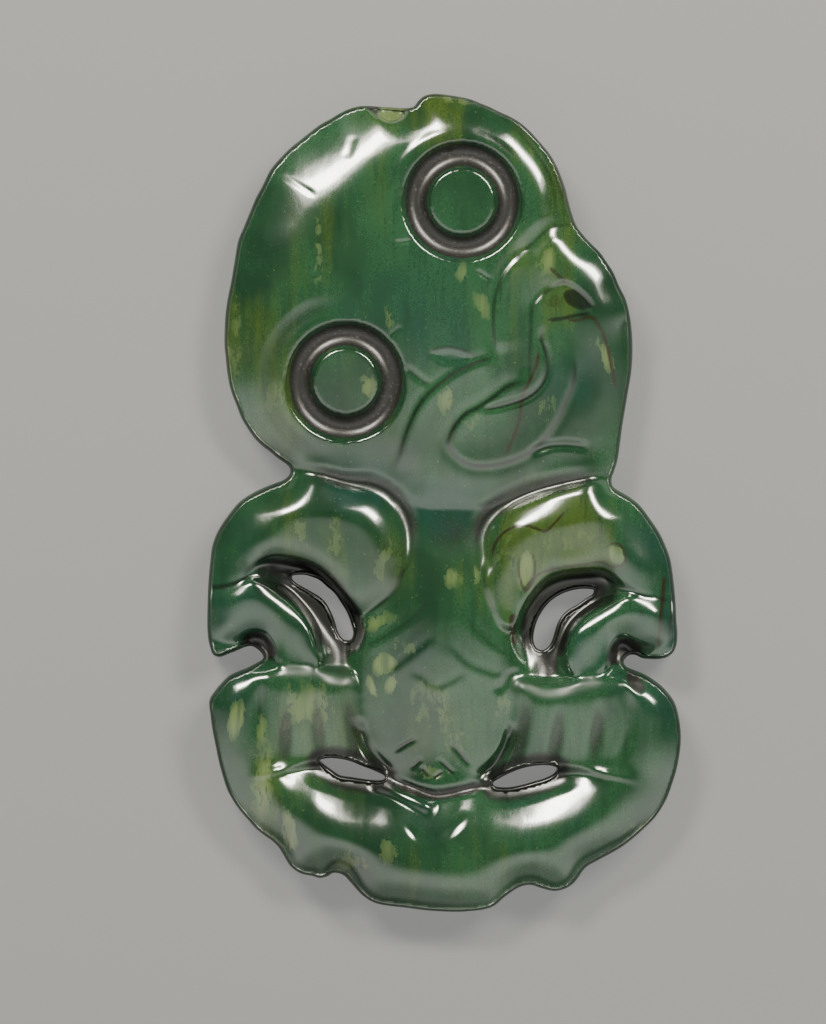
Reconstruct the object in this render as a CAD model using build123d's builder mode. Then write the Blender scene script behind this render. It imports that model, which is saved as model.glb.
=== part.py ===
"""Hei tiki: a greenstone pendant carved from one flat slab, laid on its back with its face up.

X runs across the figure, Y from the feet to the crown, and Z out of the slab towards the viewer.
The origin is the middle of the back, on the surface that the pendant lies on. Millimetres.
"""
import os
from math import cos, radians, sin, tan

from build123d import *

os.makedirs("parts", exist_ok=True)

# Overall size of the slab
WIDTH = 81.0
HEIGHT = 140.0

# How far the web and each carved form stand off the flat back
WEB_THICK = 5.0
HEAD_THICK = 11.6
ARM_THICK = 10.6
FOREARM_THICK = 9.4
TORSO_THICK = 9.8
FINGER_THICK = 9.2
LEG_THICK = 10.8

# The rounds that soften the edges of the forms, at the front and at the back
HEAD_ROUND = 5.0
BODY_ROUND = 4.2
LIMB_ROUND = 2.6
BACK_ROUND = 1.8

# The most of a run between two corners that the round at one of them takes, just under a half
RUN_SHARE = 0.49
# The most that an edge's round may be of the tightest corner that it goes round
CORNER_SHARE = 0.9
# The most of a form's thickness that its front edge's round takes, and its back edge's
FRONT_SHARE = 0.6
BACK_SHARE = 0.3

# The eyes: a flat disc inside a round-bottomed ring, with a soft brow line outside the ring
EYE_DISC = 5.5
EYE_RING_WIDE = 4.8
EYE_RING_DEEP = 2.3
BROW_OFF = 3.2
BROW_WIDE = 2.4
BROW_DEEP = 0.5

# Carved lines and hollows
LINE_WIDE = 1.4
LINE_DEEP = 0.7
MOUTH_DEEP = 1.1
NOSTRIL_DEEP = 0.8
PIT_DEEP = 2.2
FLUTE_WIDE = 2.6
FLUTE_DEEP = 0.9

# The cord hole, worn through at the crown: a scoop that slants up towards the back
SCOOP_WIDE = 6.6
SCOOP_SLANT = 15.0

# Every form is charted on squares laid over the figure, and a chart place is a share of it:
# columns count across its width from the left, rows down its height from the crown.
CHART_LEFT, CHART_RIGHT = 207, 681
CHART_CROWN, CHART_FOOT = 94, 912

# The outlines of the forms, as (column, row) chart places at the corners that get rounded
HEAD = [(425, 93), (480, 97), (523, 120), (553, 155), (568, 200), (582, 237), (614, 280),
        (634, 345), (627, 410), (614, 462), (585, 484), (545, 487), (500, 500), (450, 508),
        (412, 498), (372, 480), (320, 472), (272, 457), (238, 415), (224, 350), (230, 280),
        (250, 212), (288, 152), (345, 108), (385, 96)]
LEFT_ARM = [(286, 471), (345, 476), (390, 490), (414, 525), (412, 565), (398, 594), (366, 620),
            (345, 590), (322, 564), (284, 556), (254, 572), (246, 601), (218, 603), (208, 546),
            (226, 513), (256, 489)]
RIGHT_ARM = [(481, 560), (484, 525), (512, 502), (555, 488), (602, 480), (638, 500), (663, 530),
             (676, 567), (666, 610), (641, 606), (622, 580), (572, 573), (543, 588), (531, 622),
             (501, 620), (488, 592)]
LEFT_FOREARM = [(208, 540), (236, 556), (264, 586), (297, 603), (319, 634), (320, 673), (281, 671),
                (271, 643), (252, 627), (244, 658), (208, 662), (207, 615)]
RIGHT_FOREARM = [(588, 612), (618, 590), (646, 568), (675, 550), (678, 605), (678, 661), (640, 662),
                 (624, 635), (606, 650), (602, 684), (561, 684), (567, 640)]
TORSO = [(445, 548), (478, 562), (506, 604), (530, 650), (524, 700), (506, 750), (475, 775),
         (438, 786), (395, 774), (364, 737), (352, 690), (354, 642), (378, 600), (412, 562)]
LEFT_FINGERS = [(240, 668), (372, 666), (380, 712), (384, 757), (330, 762), (240, 770)]
RIGHT_FINGERS = [(502, 676), (648, 678), (652, 730), (630, 772), (560, 764), (498, 776)]
LEGS = [(264, 660), (261, 720), (264, 762), (320, 759), (385, 781), (431, 801), (494, 787),
        (558, 769), (612, 770), (627, 730), (625, 660), (664, 680), (682, 722), (680, 775),
        (655, 818), (618, 852), (581, 873), (562, 896), (500, 913), (400, 910), (357, 898),
        (330, 878), (292, 875), (274, 847), (231, 803), (211, 742), (206, 702), (222, 675)]
WEB = [(320, 440), (270, 500), (228, 545), (226, 640), (247, 645), (265, 657), (240, 673),
       (228, 700), (240, 780), (300, 845), (380, 885), (500, 893), (590, 850), (650, 790),
       (664, 720), (645, 690), (623, 664), (630, 654), (655, 645), (658, 560), (630, 515),
       (600, 440)]

# The lowest place of the cord hole's scoop on the front
SCOOP_FOOT = (392, 125)

# What is cut right through the slab: the broken rim of the cord hole, and the pierced gaps
BREAK = [(354, 80), (361, 106), (414, 107), (429, 93), (434, 80)]
LEFT_ARM_HOLE = [(284, 573), (312, 573), (335, 588), (349, 610), (356, 640), (345, 645), (337, 636),
                 (330, 609), (315, 593), (297, 583)]
RIGHT_ARM_HOLE = [(601, 587), (572, 587), (548, 600), (535, 622), (532, 648), (541, 655),
                  (552, 650), (559, 622), (573, 607), (593, 597)]
LEFT_LEG_HOLE = [(314, 757), (340, 757), (366, 765), (393, 779), (355, 780), (332, 772)]
RIGHT_LEG_HOLE = [(485, 786), (507, 774), (530, 766), (558, 764), (561, 769), (548, 780), (523, 789),
                  (500, 790)]

# Where the face is hollowed
# Each eye's middle, and three directions about it, in degrees, that its brow line goes through
EYES = [((462.5, 203.5), (183, 118, 45)), ((346, 382.5), (78, 140, 205))]
MOUTH = [(455, 424), (478, 410), (512, 404), (540, 388), (549, 362), (543, 332), (562, 326),
         (576, 352), (574, 392), (552, 428), (522, 460), (486, 470), (450, 460), (445, 440)]
PIT = [(561, 280), (592, 303), (590, 318), (560, 323), (536, 321), (534, 305)]
NOSTRIL = [(427, 354), (450, 347), (478, 357), (441, 370)]

# The carved lines of each form, each as three chart places: start, middle and end
FACE_LINES = [[(534, 250), (502, 289), (495, 340)], [(492, 366), (436, 392), (401, 450)],
              [(532, 452), (561, 444), (588, 448)]]
RIB_LINES = [[(432, 592), (409, 623), (370, 640)], [(458, 600), (478, 633), (512, 650)],
             [(432, 640), (416, 654), (384, 671)], [(452, 650), (472, 667), (508, 672)],
             [(410, 676), (438, 690), (466, 680)]]
TOE_LINES = [[(408, 822), (414, 832), (422, 840)], [(466, 818), (453, 830), (439, 840)]]
# The flutes between the fingers of each hand, each from its top to its foot
LEFT_FLUTES = [[(286, 702), (286, 757)], [(316, 698), (314, 755)], [(343, 696), (346, 752)]]
RIGHT_FLUTES = [[(526, 704), (515, 756)], [(564, 706), (554, 755)], [(599, 706), (592, 752)]]


def place(column, row):
    """The point of the slab at a chart place, as its shares of WIDTH and HEIGHT."""
    across = (column - CHART_LEFT) / (CHART_RIGHT - CHART_LEFT) - 0.5
    up = 0.5 - (row - CHART_CROWN) / (CHART_FOOT - CHART_CROWN)
    return Vector(across * WIDTH, up * HEIGHT)


def corner_rounds(corners):
    """The largest round that the two runs at each corner allow, and whether the corner bulges.

    A round of radius r takes r * tan(turn / 2) from each run, and each run serves two corners.
    """
    before, after = corners[-1:] + corners[:-1], corners[1:] + corners[:1]
    winding = sum(a.X * b.Y - a.Y * b.X for a, b in zip(corners, after))
    rounds, bulges = [], []
    for a, corner, b in zip(before, corners, after):
        run_in, run_out = corner - a, b - corner
        turn = radians(run_in.get_angle(run_out))
        rounds.append(RUN_SHARE * min(run_in.length, run_out.length) / tan(turn / 2))
        bulges.append((run_in.X * run_out.Y - run_in.Y * run_out.X) * winding > 0)
    return rounds, bulges


def charted_sketch(chart):
    """The closed sketch with a round as large as it can be at each charted corner."""
    corners = [place(*spot) for spot in chart]
    with BuildSketch(mode=Mode.PRIVATE) as sketch:
        with BuildLine():
            FilletPolyline(*corners, radius=corner_rounds(corners)[0], close=True)
        make_face()
    return sketch.sketch


def pillow(chart, thick, front_round):
    """A form that swells from the back: its front and back edges are rounded over.

    No round is larger than its tightest bulging corner, or than the thickness leaves room for.
    """
    rounds, bulges = corner_rounds([place(*spot) for spot in chart])
    tightest = CORNER_SHARE * min(size for size, bulge in zip(rounds, bulges) if bulge)
    with BuildPart() as form:
        add(charted_sketch(chart))
        extrude(amount=thick)
        front, back = form.faces().sort_by(Axis.Z)[-1], form.faces().sort_by(Axis.Z)[0]
        fillet(front.edges(), radius=min(front_round, tightest, FRONT_SHARE * thick))
        fillet(back.edges(), radius=min(BACK_ROUND, tightest, BACK_SHARE * thick))
    return form.part


def groove(spots, thick, wide, deep):
    """The cutter of a round-bottomed line of one depth along an arc through three spots."""
    start, middle, end = (spot + Vector(0, 0, thick - deep + wide / 2) for spot in spots)
    with BuildPart() as cutter:
        with BuildLine() as path:
            ThreePointArc(start, middle, end)
        with BuildSketch(Plane(origin=start, z_dir=path.line % 0)):
            Circle(wide / 2)
        sweep(path=path.line)
        with Locations(start, end):
            Sphere(wide / 2)
    return cutter.part


def flute(spots):
    """The cutter of a straight round-bottomed channel between two fingers."""
    lift = Vector(0, 0, FINGER_THICK - FLUTE_DEEP + FLUTE_WIDE / 2)
    top, foot = (spot + lift for spot in charted(spots))
    with BuildPart() as cutter:
        with BuildSketch(Plane(origin=top, z_dir=foot - top)):
            Circle(FLUTE_WIDE / 2)
        extrude(amount=(foot - top).length)
        with Locations(top, foot):
            Sphere(FLUTE_WIDE / 2)
    return cutter.part


def eye_ring(centre):
    """The cutter of the ring round an eye's flat disc."""
    middle = EYE_DISC + EYE_RING_WIDE / 2
    with BuildPart() as cutter:
        with BuildSketch(Plane.XZ.offset(-centre.Y)):
            with Locations((centre.X + middle, HEAD_THICK)):
                Ellipse(EYE_RING_WIDE / 2, EYE_RING_DEEP)
        revolve(axis=Axis(centre, (0, 0, 1)))
    return cutter.part


def cord_scoop(foot):
    """The cutter of the worn cord hole, from its lowest point on the front."""
    slant = Vector(0, sin(radians(SCOOP_SLANT)), -cos(radians(SCOOP_SLANT)))
    start = foot + Vector(0, SCOOP_WIDE / 2, HEAD_THICK)
    with BuildPart() as cutter:
        with BuildSketch(Plane(origin=start, z_dir=slant)):
            Circle(SCOOP_WIDE / 2)
        extrude(amount=2 * HEAD_THICK, both=True)
    return cutter.part


def brow_line(centre, turns):
    """The cutter of the soft line outside an eye, through three directions about its centre."""
    reach = Vector(EYE_DISC + EYE_RING_WIDE + BROW_OFF, 0)
    return groove([centre + reach.rotate(Axis.Z, turn) for turn in turns],
                  HEAD_THICK, BROW_WIDE, BROW_DEEP)


def hollow(chart, deep):
    """The cutter of a flat-floored hollow in the face."""
    with BuildPart() as cutter:
        with BuildSketch(Plane.XY.offset(HEAD_THICK)):
            add(charted_sketch(chart))
        extrude(amount=-deep)
    return cutter.part


def carved(form, cutters):
    """A form with its cutters taken out of it, one after another."""
    with BuildPart() as result:
        add(form)
        for cutter in cutters:
            add(cutter, mode=Mode.SUBTRACT)
    return result.part


def charted(spots):
    """The points of several chart places."""
    return [place(*spot) for spot in spots]


def line(spots, thick):
    """The cutter of a fine carved line on a form of this thickness."""
    return groove(charted(spots), thick, LINE_WIDE, LINE_DEEP)


def head():
    """The leaning head: the cord hole at its crown, two ringed eyes, the nose and the mouth."""
    cutters = [cord_scoop(place(*SCOOP_FOOT))]
    for eye, turns in EYES:
        cutters += [eye_ring(place(*eye)), brow_line(place(*eye), turns)]
    cutters += [hollow(MOUTH, MOUTH_DEEP), hollow(PIT, PIT_DEEP), hollow(NOSTRIL, NOSTRIL_DEEP)]
    cutters += [line(spots, HEAD_THICK) for spots in FACE_LINES]
    return carved(pillow(HEAD, HEAD_THICK, HEAD_ROUND), cutters)


def torso():
    """The chest and belly, with the rib lines that meet in chevrons."""
    return carved(pillow(TORSO, TORSO_THICK, BODY_ROUND),
                  [line(spots, TORSO_THICK) for spots in RIB_LINES])


def hand(chart, flutes):
    """A hand that lies on the thigh, its fingers parted by flutes."""
    return carved(pillow(chart, FINGER_THICK, LIMB_ROUND), [flute(spots) for spots in flutes])


def legs():
    """The two legs, bowed into one crescent whose feet meet between the toe lines."""
    return carved(pillow(LEGS, LEG_THICK, LIMB_ROUND),
                  [line(spots, LEG_THICK) for spots in TOE_LINES])


with BuildPart() as pendant:
    # The web joins the forms, and shows as the floor of the hollows between them
    add(charted_sketch(WEB))
    extrude(amount=WEB_THICK)
    for form in [head(), torso(), hand(LEFT_FINGERS, LEFT_FLUTES), hand(RIGHT_FINGERS, RIGHT_FLUTES),
                 legs(), pillow(LEFT_ARM, ARM_THICK, LIMB_ROUND),
                 pillow(RIGHT_ARM, ARM_THICK, LIMB_ROUND),
                 pillow(LEFT_FOREARM, FOREARM_THICK, LIMB_ROUND),
                 pillow(RIGHT_FOREARM, FOREARM_THICK, LIMB_ROUND)]:
        add(form)
    # The broken rim of the cord hole, and the gaps pierced beside the arms and above the feet
    with BuildSketch():
        for chart in [BREAK, LEFT_ARM_HOLE, RIGHT_ARM_HOLE, LEFT_LEG_HOLE, RIGHT_LEG_HOLE]:
            add(charted_sketch(chart))
    extrude(amount=HEAD_THICK, mode=Mode.SUBTRACT)

pendant.part.label = "pendant"
export_step(pendant.part, "parts/pendant.step")

box = pendant.part.bounding_box()
print("pendant", len(pendant.part.solids()), "solid,", len(pendant.part.faces()), "faces,",
      round(pendant.part.volume / 1000, 2), "cm3, box", box.min, box.max)
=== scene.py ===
# %% [markdown]
# # A greenstone figure, carved with numpy
#
# The pendant is one slab of deep green stone, carved in low relief, pierced in four places and
# worn through at the crown where its cord hung. It lies on its flat back. Its whole look comes
# from two things: soft swelling forms that meet in deep satin grooves, and polished stone whose
# streaks run down the slab. This lesson carves the first and then dyes the second.
#
# Such a figure could be sculpted with brushes, or joined from simple solids. Here every form and
# cut is a height over the slab instead, worked out from a few numbers, so that each one can be
# put right by itself and the carving comes out the same on every run.

# %% The fixed frame, and the box that every shape has to stay in
from collections import namedtuple
from math import cos, pi, radians, sin
from types import SimpleNamespace

import bpy
import numpy as np
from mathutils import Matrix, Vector
from mathutils.geometry import delaunay_2d_cdt


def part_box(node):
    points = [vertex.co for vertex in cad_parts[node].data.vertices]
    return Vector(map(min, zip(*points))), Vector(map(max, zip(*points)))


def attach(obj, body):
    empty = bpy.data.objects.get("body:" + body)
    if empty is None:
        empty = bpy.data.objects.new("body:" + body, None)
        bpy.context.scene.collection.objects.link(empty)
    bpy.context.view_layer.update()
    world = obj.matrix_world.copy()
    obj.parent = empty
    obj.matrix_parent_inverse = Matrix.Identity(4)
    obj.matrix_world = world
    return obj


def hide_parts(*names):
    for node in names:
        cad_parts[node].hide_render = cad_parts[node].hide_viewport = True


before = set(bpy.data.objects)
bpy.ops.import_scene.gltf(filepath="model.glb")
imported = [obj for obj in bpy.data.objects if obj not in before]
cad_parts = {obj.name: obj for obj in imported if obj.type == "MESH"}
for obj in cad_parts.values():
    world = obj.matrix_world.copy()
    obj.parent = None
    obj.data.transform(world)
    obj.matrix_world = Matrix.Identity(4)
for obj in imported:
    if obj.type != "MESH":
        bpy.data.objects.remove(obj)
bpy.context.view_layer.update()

# %% [markdown]
# ## A chart over the figure
#
# A carver draws on the slab before cutting it. Here every line is drawn on a chart of small
# squares laid over the figure: columns count from the left and rows from the crown. Distances
# across the slab are counted in squares too, and depths are in millimetres.

# %% The chart's squares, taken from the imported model
low, high = (np.array(corner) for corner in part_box("pendant"))
LEFT_COLUMN, RIGHT_COLUMN, CROWN_ROW, FOOT_ROW = 207, 681, 94, 912
SQUARE = np.array([(high[0] - low[0]) / (RIGHT_COLUMN - LEFT_COLUMN),
                   (low[1] - high[1]) / (FOOT_ROW - CROWN_ROW)])
CORNER = np.array([low[0], high[1]]) - SQUARE * (LEFT_COLUMN, CROWN_ROW)
MM = 0.001


def on_slab(spots, depths):
    """Chart spots and depths in millimetres as points of the slab in metres."""
    flat = CORNER + np.asarray(spots, float) * SQUARE
    return np.concatenate([flat, np.broadcast_to(depths, len(flat))[:, None] * MM], axis=1)


print("one square in millimetres:", np.round(np.abs(SQUARE) / MM, 4))

# %% [markdown]
# ## Lines that flow
#
# Nothing on the figure is straight, so a line is a few given spots and a smooth curve through
# them. A Bezier curve could draw it, but would need two handles placed at each spot as well. Here
# the slope at a spot is the weighted mean of the chords on both sides, which keeps the curve from
# ever swinging wide of the spots.

# %% A smooth curve through given spots
def flowing(spots, closed=False, step=2.0):
    """Points a step apart on the curve through the spots.

    On each span, with u from 0 to 1, a point is the cubic blend of the two spots and of the two
    slopes there. A slope is the mean of the chords beside a spot, each weighted by the other's
    length, and a chord is measured by the square root of its length. The points are then spread
    evenly along the curve.
    """
    spots = np.asarray(spots, float)
    if closed:
        ring = np.concatenate([spots[-1:], spots, spots[:2]])
    else:
        ring = np.concatenate([2 * spots[:1] - spots[1:2], spots, 2 * spots[-1:] - spots[-2:-1]])
    chords = np.diff(ring, axis=0)
    gaps = np.sqrt(np.linalg.norm(chords, axis=1))[:, None]
    chords = chords / gaps
    slopes = (chords[:-1] * gaps[1:] + chords[1:] * gaps[:-1]) / (gaps[:-1] + gaps[1:])
    here, there, spans = ring[1:-2], ring[2:-1], gaps[1:-1]
    leave, arrive = slopes[:-1] * spans, slopes[1:] * spans
    u = np.linspace(0, 1, 12, endpoint=False)[:, None, None]
    points = ((1 + 2 * u) * (1 - u) ** 2 * here + u * (1 - u) ** 2 * leave
              + u * u * (3 - 2 * u) * there + u * u * (u - 1) * arrive)
    points = points.swapaxes(0, 1).reshape(-1, 2)
    points = np.concatenate([points, points[:1] if closed else spots[-1:]])
    passed = np.concatenate([[0], np.cumsum(np.linalg.norm(np.diff(points, axis=0), axis=1))])
    places = np.linspace(0, passed[-1], max(int(passed[-1] / step), 2) + 1)
    curve = np.stack([np.interp(places, passed, points[:, axis]) for axis in (0, 1)], axis=1)
    return curve[:-1] if closed else curve


# %% How far each point lies from a line, on which side, and how far along
BATCH = 4000


def measured(points, line, closed=False):
    """Distance to the nearest run of a line, the side it is on, and the share of the line passed.

    A run's nearest point is its start plus t times the run, with t = offset . run / run . run
    kept between 0 and 1. The side is positive to the right of the line as the chart shows it.
    """
    ends = np.roll(line, -1, axis=0) if closed else line[1:]
    starts = line if closed else line[:-1]
    runs = (ends - starts).astype(np.float32)
    starts = starts.astype(np.float32)
    squared = (runs ** 2).sum(axis=1)
    parts = []
    for batch in np.array_split(points.astype(np.float32), len(points) // BATCH + 1):
        off_x = batch[:, :1] - starts[:, 0]
        off_y = batch[:, 1:] - starts[:, 1]
        t = np.clip((off_x * runs[:, 0] + off_y * runs[:, 1]) / squared, 0, 1)
        away = (off_x - t * runs[:, 0]) ** 2 + (off_y - t * runs[:, 1]) ** 2
        nearest = away.argmin(axis=1)
        rows = np.arange(len(batch))
        turn = runs[nearest, 0] * off_y[rows, nearest] - runs[nearest, 1] * off_x[rows, nearest]
        parts.append(np.stack([np.sqrt(away[rows, nearest]), np.sign(turn),
                               (nearest + t[rows, nearest]) / len(runs)]))
    return np.concatenate(parts, axis=1).astype(float)


def depth_inside(points, outline):
    """Distance to a closed outline, positive inside it and negative outside.

    A point is inside when a level line from it crosses the outline an odd number of times.
    """
    distance = measured(points, outline, closed=True)[0]
    (ax, ay), (bx, by) = outline.T, np.roll(outline, -1, axis=0).T
    inside = []
    for batch in np.array_split(points, len(points) // BATCH + 1):
        x, y = batch[:, :1], batch[:, 1:]
        spans = (ay > y) != (by > y)
        with np.errstate(divide="ignore", invalid="ignore"):
            crossing = ax + (y - ay) / (by - ay) * (bx - ax)
        inside.append((spans & (x < crossing)).sum(axis=1) % 2 == 1)
    return np.where(np.concatenate(inside), distance, -distance)


def near_box(points, line, reach):
    """Which points lie within reach of the box round a line."""
    inside = (points > line.min(axis=0) - reach) & (points < line.max(axis=0) + reach)
    return np.flatnonzero(inside.all(axis=1))


# %% [markdown]
# ## The silhouette
#
# The outline and the four pierced gaps are the lines that the eye checks first, so they have the
# most spots. The crown has the worn cord notch, and the foot is chipped. A calmer outline, worn
# smooth along its length, goes with them: the broad curve of the slab's front follows that one.

# %% The outline and the gaps
OUTLINE = [
    (361, 106), (387, 107), (413, 107), (418, 101), (424, 96), (432, 94), (440, 94), (455, 96),
    (470, 99), (480, 103), (490, 107), (500, 112), (510, 116.5), (520, 122.5), (530, 131),
    (540, 142), (550, 154), (557, 166), (562, 178), (566, 190), (569, 202), (573, 216),
    (577, 226), (582, 233), (588, 240), (594, 246), (600, 252), (607, 262), (614, 273),
    (620, 287), (626, 299), (631, 320), (633, 345), (632, 370), (628, 395), (623, 425),
    (618, 460), (615, 470), (612, 479), (613, 486), (618, 490), (630, 497), (640, 505),
    (650, 518), (660, 533), (667, 548), (671, 560), (674, 580), (676, 600), (677, 620),
    (678, 635), (677, 645), (674, 652), (668, 657), (660, 659), (650, 659), (642, 658),
    (636, 655), (630, 655), (626, 658), (624, 662), (626, 666), (632, 669), (640, 672),
    (650, 677), (660, 684), (668, 692), (675, 702), (679, 715), (681, 728), (681.5, 740),
    (680, 755), (677, 770), (673, 783), (668, 797), (662, 808), (655, 818), (645, 828),
    (635, 837), (622, 847), (610, 854), (597, 861), (588, 866), (583, 871), (579, 877),
    (574, 883), (567, 888), (555, 891), (541, 888), (531, 885), (520, 887), (506, 896),
    (492, 907), (466, 911.5), (434, 911), (408, 908), (375, 903), (362, 895), (350, 882),
    (343, 875), (333, 873), (328, 876), (320, 878), (312, 876), (302, 874), (296, 871),
    (290, 866), (286, 860), (282, 853), (278, 847), (272, 841), (265, 836), (256, 829),
    (248, 820), (240, 811), (233, 801), (227, 790), (222, 775), (218, 760), (215, 745),
    (212, 730), (210, 715), (209, 700), (215, 690), (220, 684), (228, 676), (236, 672),
    (246, 668), (256, 663), (263, 658), (262, 654), (257, 649), (251, 646), (245, 647),
    (238, 650), (228, 654), (219, 657), (213, 655), (209, 645), (207, 631), (207, 606),
    (208, 581), (210, 559), (212, 545), (218, 530), (228, 515), (240, 501), (256, 491),
    (275, 483), (283, 480), (289, 475), (290, 470), (288, 466), (283, 462), (277, 458),
    (270, 452), (262, 446), (254, 438), (247, 428), (241, 418), (236, 405), (232, 395),
    (229, 385), (226.5, 370), (225, 355), (224, 345), (225, 315), (227, 300), (229, 290),
    (231, 280), (234, 262), (238, 240), (243, 228), (250, 211), (255, 199), (262, 186),
    (270, 170), (280, 158), (290, 148), (300, 140), (310, 132), (320, 124.5), (330, 119),
    (340, 113), (350, 108.5)]
GAPS = [
    [(292, 576), (296, 575), (305, 575), (312, 577), (319, 580), (326, 586), (334, 593),
     (341, 603), (347, 613), (351, 624), (353, 633), (351, 639), (347, 640), (343, 639),
     (338, 632), (335, 622), (331, 612), (326, 603), (320, 597), (312, 592), (303, 587),
     (296, 583), (292, 579)],
    [(594, 590), (590, 589), (580, 589), (570, 591), (560, 595), (550, 602), (542, 612),
     (537, 622), (534, 634), (534, 642), (537, 648), (543, 650), (549, 646), (553, 638),
     (556, 628), (560, 619), (567, 611), (577, 605), (587, 598), (593, 594)],
    [(320, 760), (328, 758), (338, 758.5), (350, 761), (362, 766), (375, 771), (385, 776.5),
     (384, 779), (378, 780), (365, 779), (352, 777), (340, 775), (332, 770), (324, 764)],
    [(493, 783), (500, 778), (510, 773), (520, 769), (532, 766), (545, 765), (553, 766),
     (557, 768), (554, 773), (545, 778), (535, 781), (525, 784), (510, 787), (500, 787),
     (495, 786)]]


def bell(reach):
    """The weights of a bell-shaped mean over so many points on either side: they add up to 1."""
    return np.hanning(2 * reach + 1)[1:-1] / reach


CALM_REACH = 26
outline = flowing(OUTLINE, closed=True)
gaps = [flowing(gap, closed=True) for gap in GAPS]
wrapped = np.concatenate([outline[-CALM_REACH + 1:], outline, outline[:CALM_REACH - 1]])
calm = np.stack([np.convolve(axis, bell(CALM_REACH), "valid") for axis in wrapped.T], axis=1)[::2]
print("points on the outline and the gaps:", [len(loop) for loop in [outline, *gaps]])

# %% [markdown]
# ## Swelling forms
#
# The head, each limb and the body are pillows, which the carver left standing when the stone
# round them was ground away. They could be squashed spheres, but the real ones keep their
# roundness to a border and are nearly level inside it. So each pillow is a thin plate, bent
# through a few heights, that drops to the web as a point nears the form's outline. Where an
# outline runs outside the slab, the slab's own rounded rim takes over.

# %% The curves that round an edge
def rounded(share):
    """A quarter of a circle: 0 and upright at the edge, level at a share of 1."""
    return np.sqrt(1 - (1 - np.clip(share, 0, 1)) ** 2)


def domed(share):
    """Half a parabola, 1 - (1 - share)^2: its slope falls evenly from the edge inwards."""
    return 1 - (1 - np.clip(share, 0, 1)) ** 2


def eased(share):
    """From 0 to 1 with level ends: 3 t^2 - 2 t^3."""
    share = np.clip(share, 0, 1)
    return share * share * (3 - 2 * share)


# %% Heights and widths noted at a few spots, and what they come to in between
NEIGHBOURHOOD = 20


def spread(points, notes):
    """A value at each point, blended from (column, row, value) notes by nearness.

    Each note weighs 1 / (distance^2 + NEIGHBOURHOOD^2)^2, so it rules round its own spot.
    """
    notes = np.asarray(notes, float)
    away = ((points[:, None] - notes[:, :2]) ** 2).sum(axis=2)
    weights = 1 / (away + NEIGHBOURHOOD ** 2) ** 2
    return (weights * notes[:, 2]).sum(axis=1) / weights.sum(axis=1)


def draped(points, notes):
    """The height at each point of a thin plate that is bent through (column, row, height) notes.

    The plate is a tilted plane plus, for each note, a weight times r^2 log r^2, where r is the
    distance to the note. The weights are those that meet every note with no pull left over. The
    plate isn't let run far below the lowest note or above the highest.
    """
    notes = np.asarray(notes, float)
    spots, heights = notes[:, :2], notes[:, 2]

    def bend(places):
        squared = ((places[:, None] - spots) ** 2).sum(axis=2)
        return np.column_stack([squared * np.log(squared + 1e-9), np.ones(len(places)), places])

    plane = bend(spots)[:, len(spots):]
    system = np.vstack([bend(spots), np.hstack([plane.T, np.zeros((3, 3))])])
    weights = np.linalg.solve(system, np.concatenate([heights, np.zeros(3)]))
    return np.clip(bend(points) @ weights, heights.min() - 0.3, heights.max() + 0.2)


# %% How two forms meet
def blended(first, second, soft):
    """The higher of two surfaces, with a fillet where they are less than soft apart."""
    near = np.clip(soft - np.abs(first - second), 0, None) / soft
    return np.maximum(first, second) + near * near * soft / 4


# %% [markdown]
# ## Worn by hand
#
# The forms and the slab's dome change slowly, so both are worked out on a coarser chart, worn
# smooth there as years of wear did to the real one, and read from it wherever a height is wanted.
# A Smooth modifier on the finished mesh would do it too, but would blur the cut lines as well.

# %% A coarse chart that surfaces are worn on and read from
FIELD_STEP, FIELD_START, FIELD_SIZE = 2.0, np.array([190.0, 76.0]), (256, 430)
field_spots = (FIELD_START + FIELD_STEP * np.stack(
    np.meshgrid(np.arange(FIELD_SIZE[0]), np.arange(FIELD_SIZE[1])), axis=-1)).reshape(-1, 2)


def worn(values, reach):
    """The chart's values as a field, each one a bell-weighted mean of the squares round it."""
    field = np.pad(values.reshape(FIELD_SIZE[::-1]), reach - 1, mode="edge")
    for axis in (0, 1):
        field = np.apply_along_axis(np.convolve, axis, field, bell(reach), "valid")
    return field


def sampled(field, points):
    """A field read between its squares, by a cubic through four of them along each axis."""
    place = (points - FIELD_START) / FIELD_STEP
    cell = np.clip(np.floor(place).astype(int), 1, np.array(FIELD_SIZE) - 3)
    t = place - cell
    shares = [(t * (2 - t) - 1) * t / 2, (3 * t - 5) * t * t / 2 + 1,
              ((4 - 3 * t) * t + 1) * t / 2, (t - 1) * t * t / 2]
    return sum(shares[j][:, 0] * shares[k][:, 1] * field[cell[:, 1] + k - 1, cell[:, 0] + j - 1]
               for j in range(4) for k in range(4))


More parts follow.
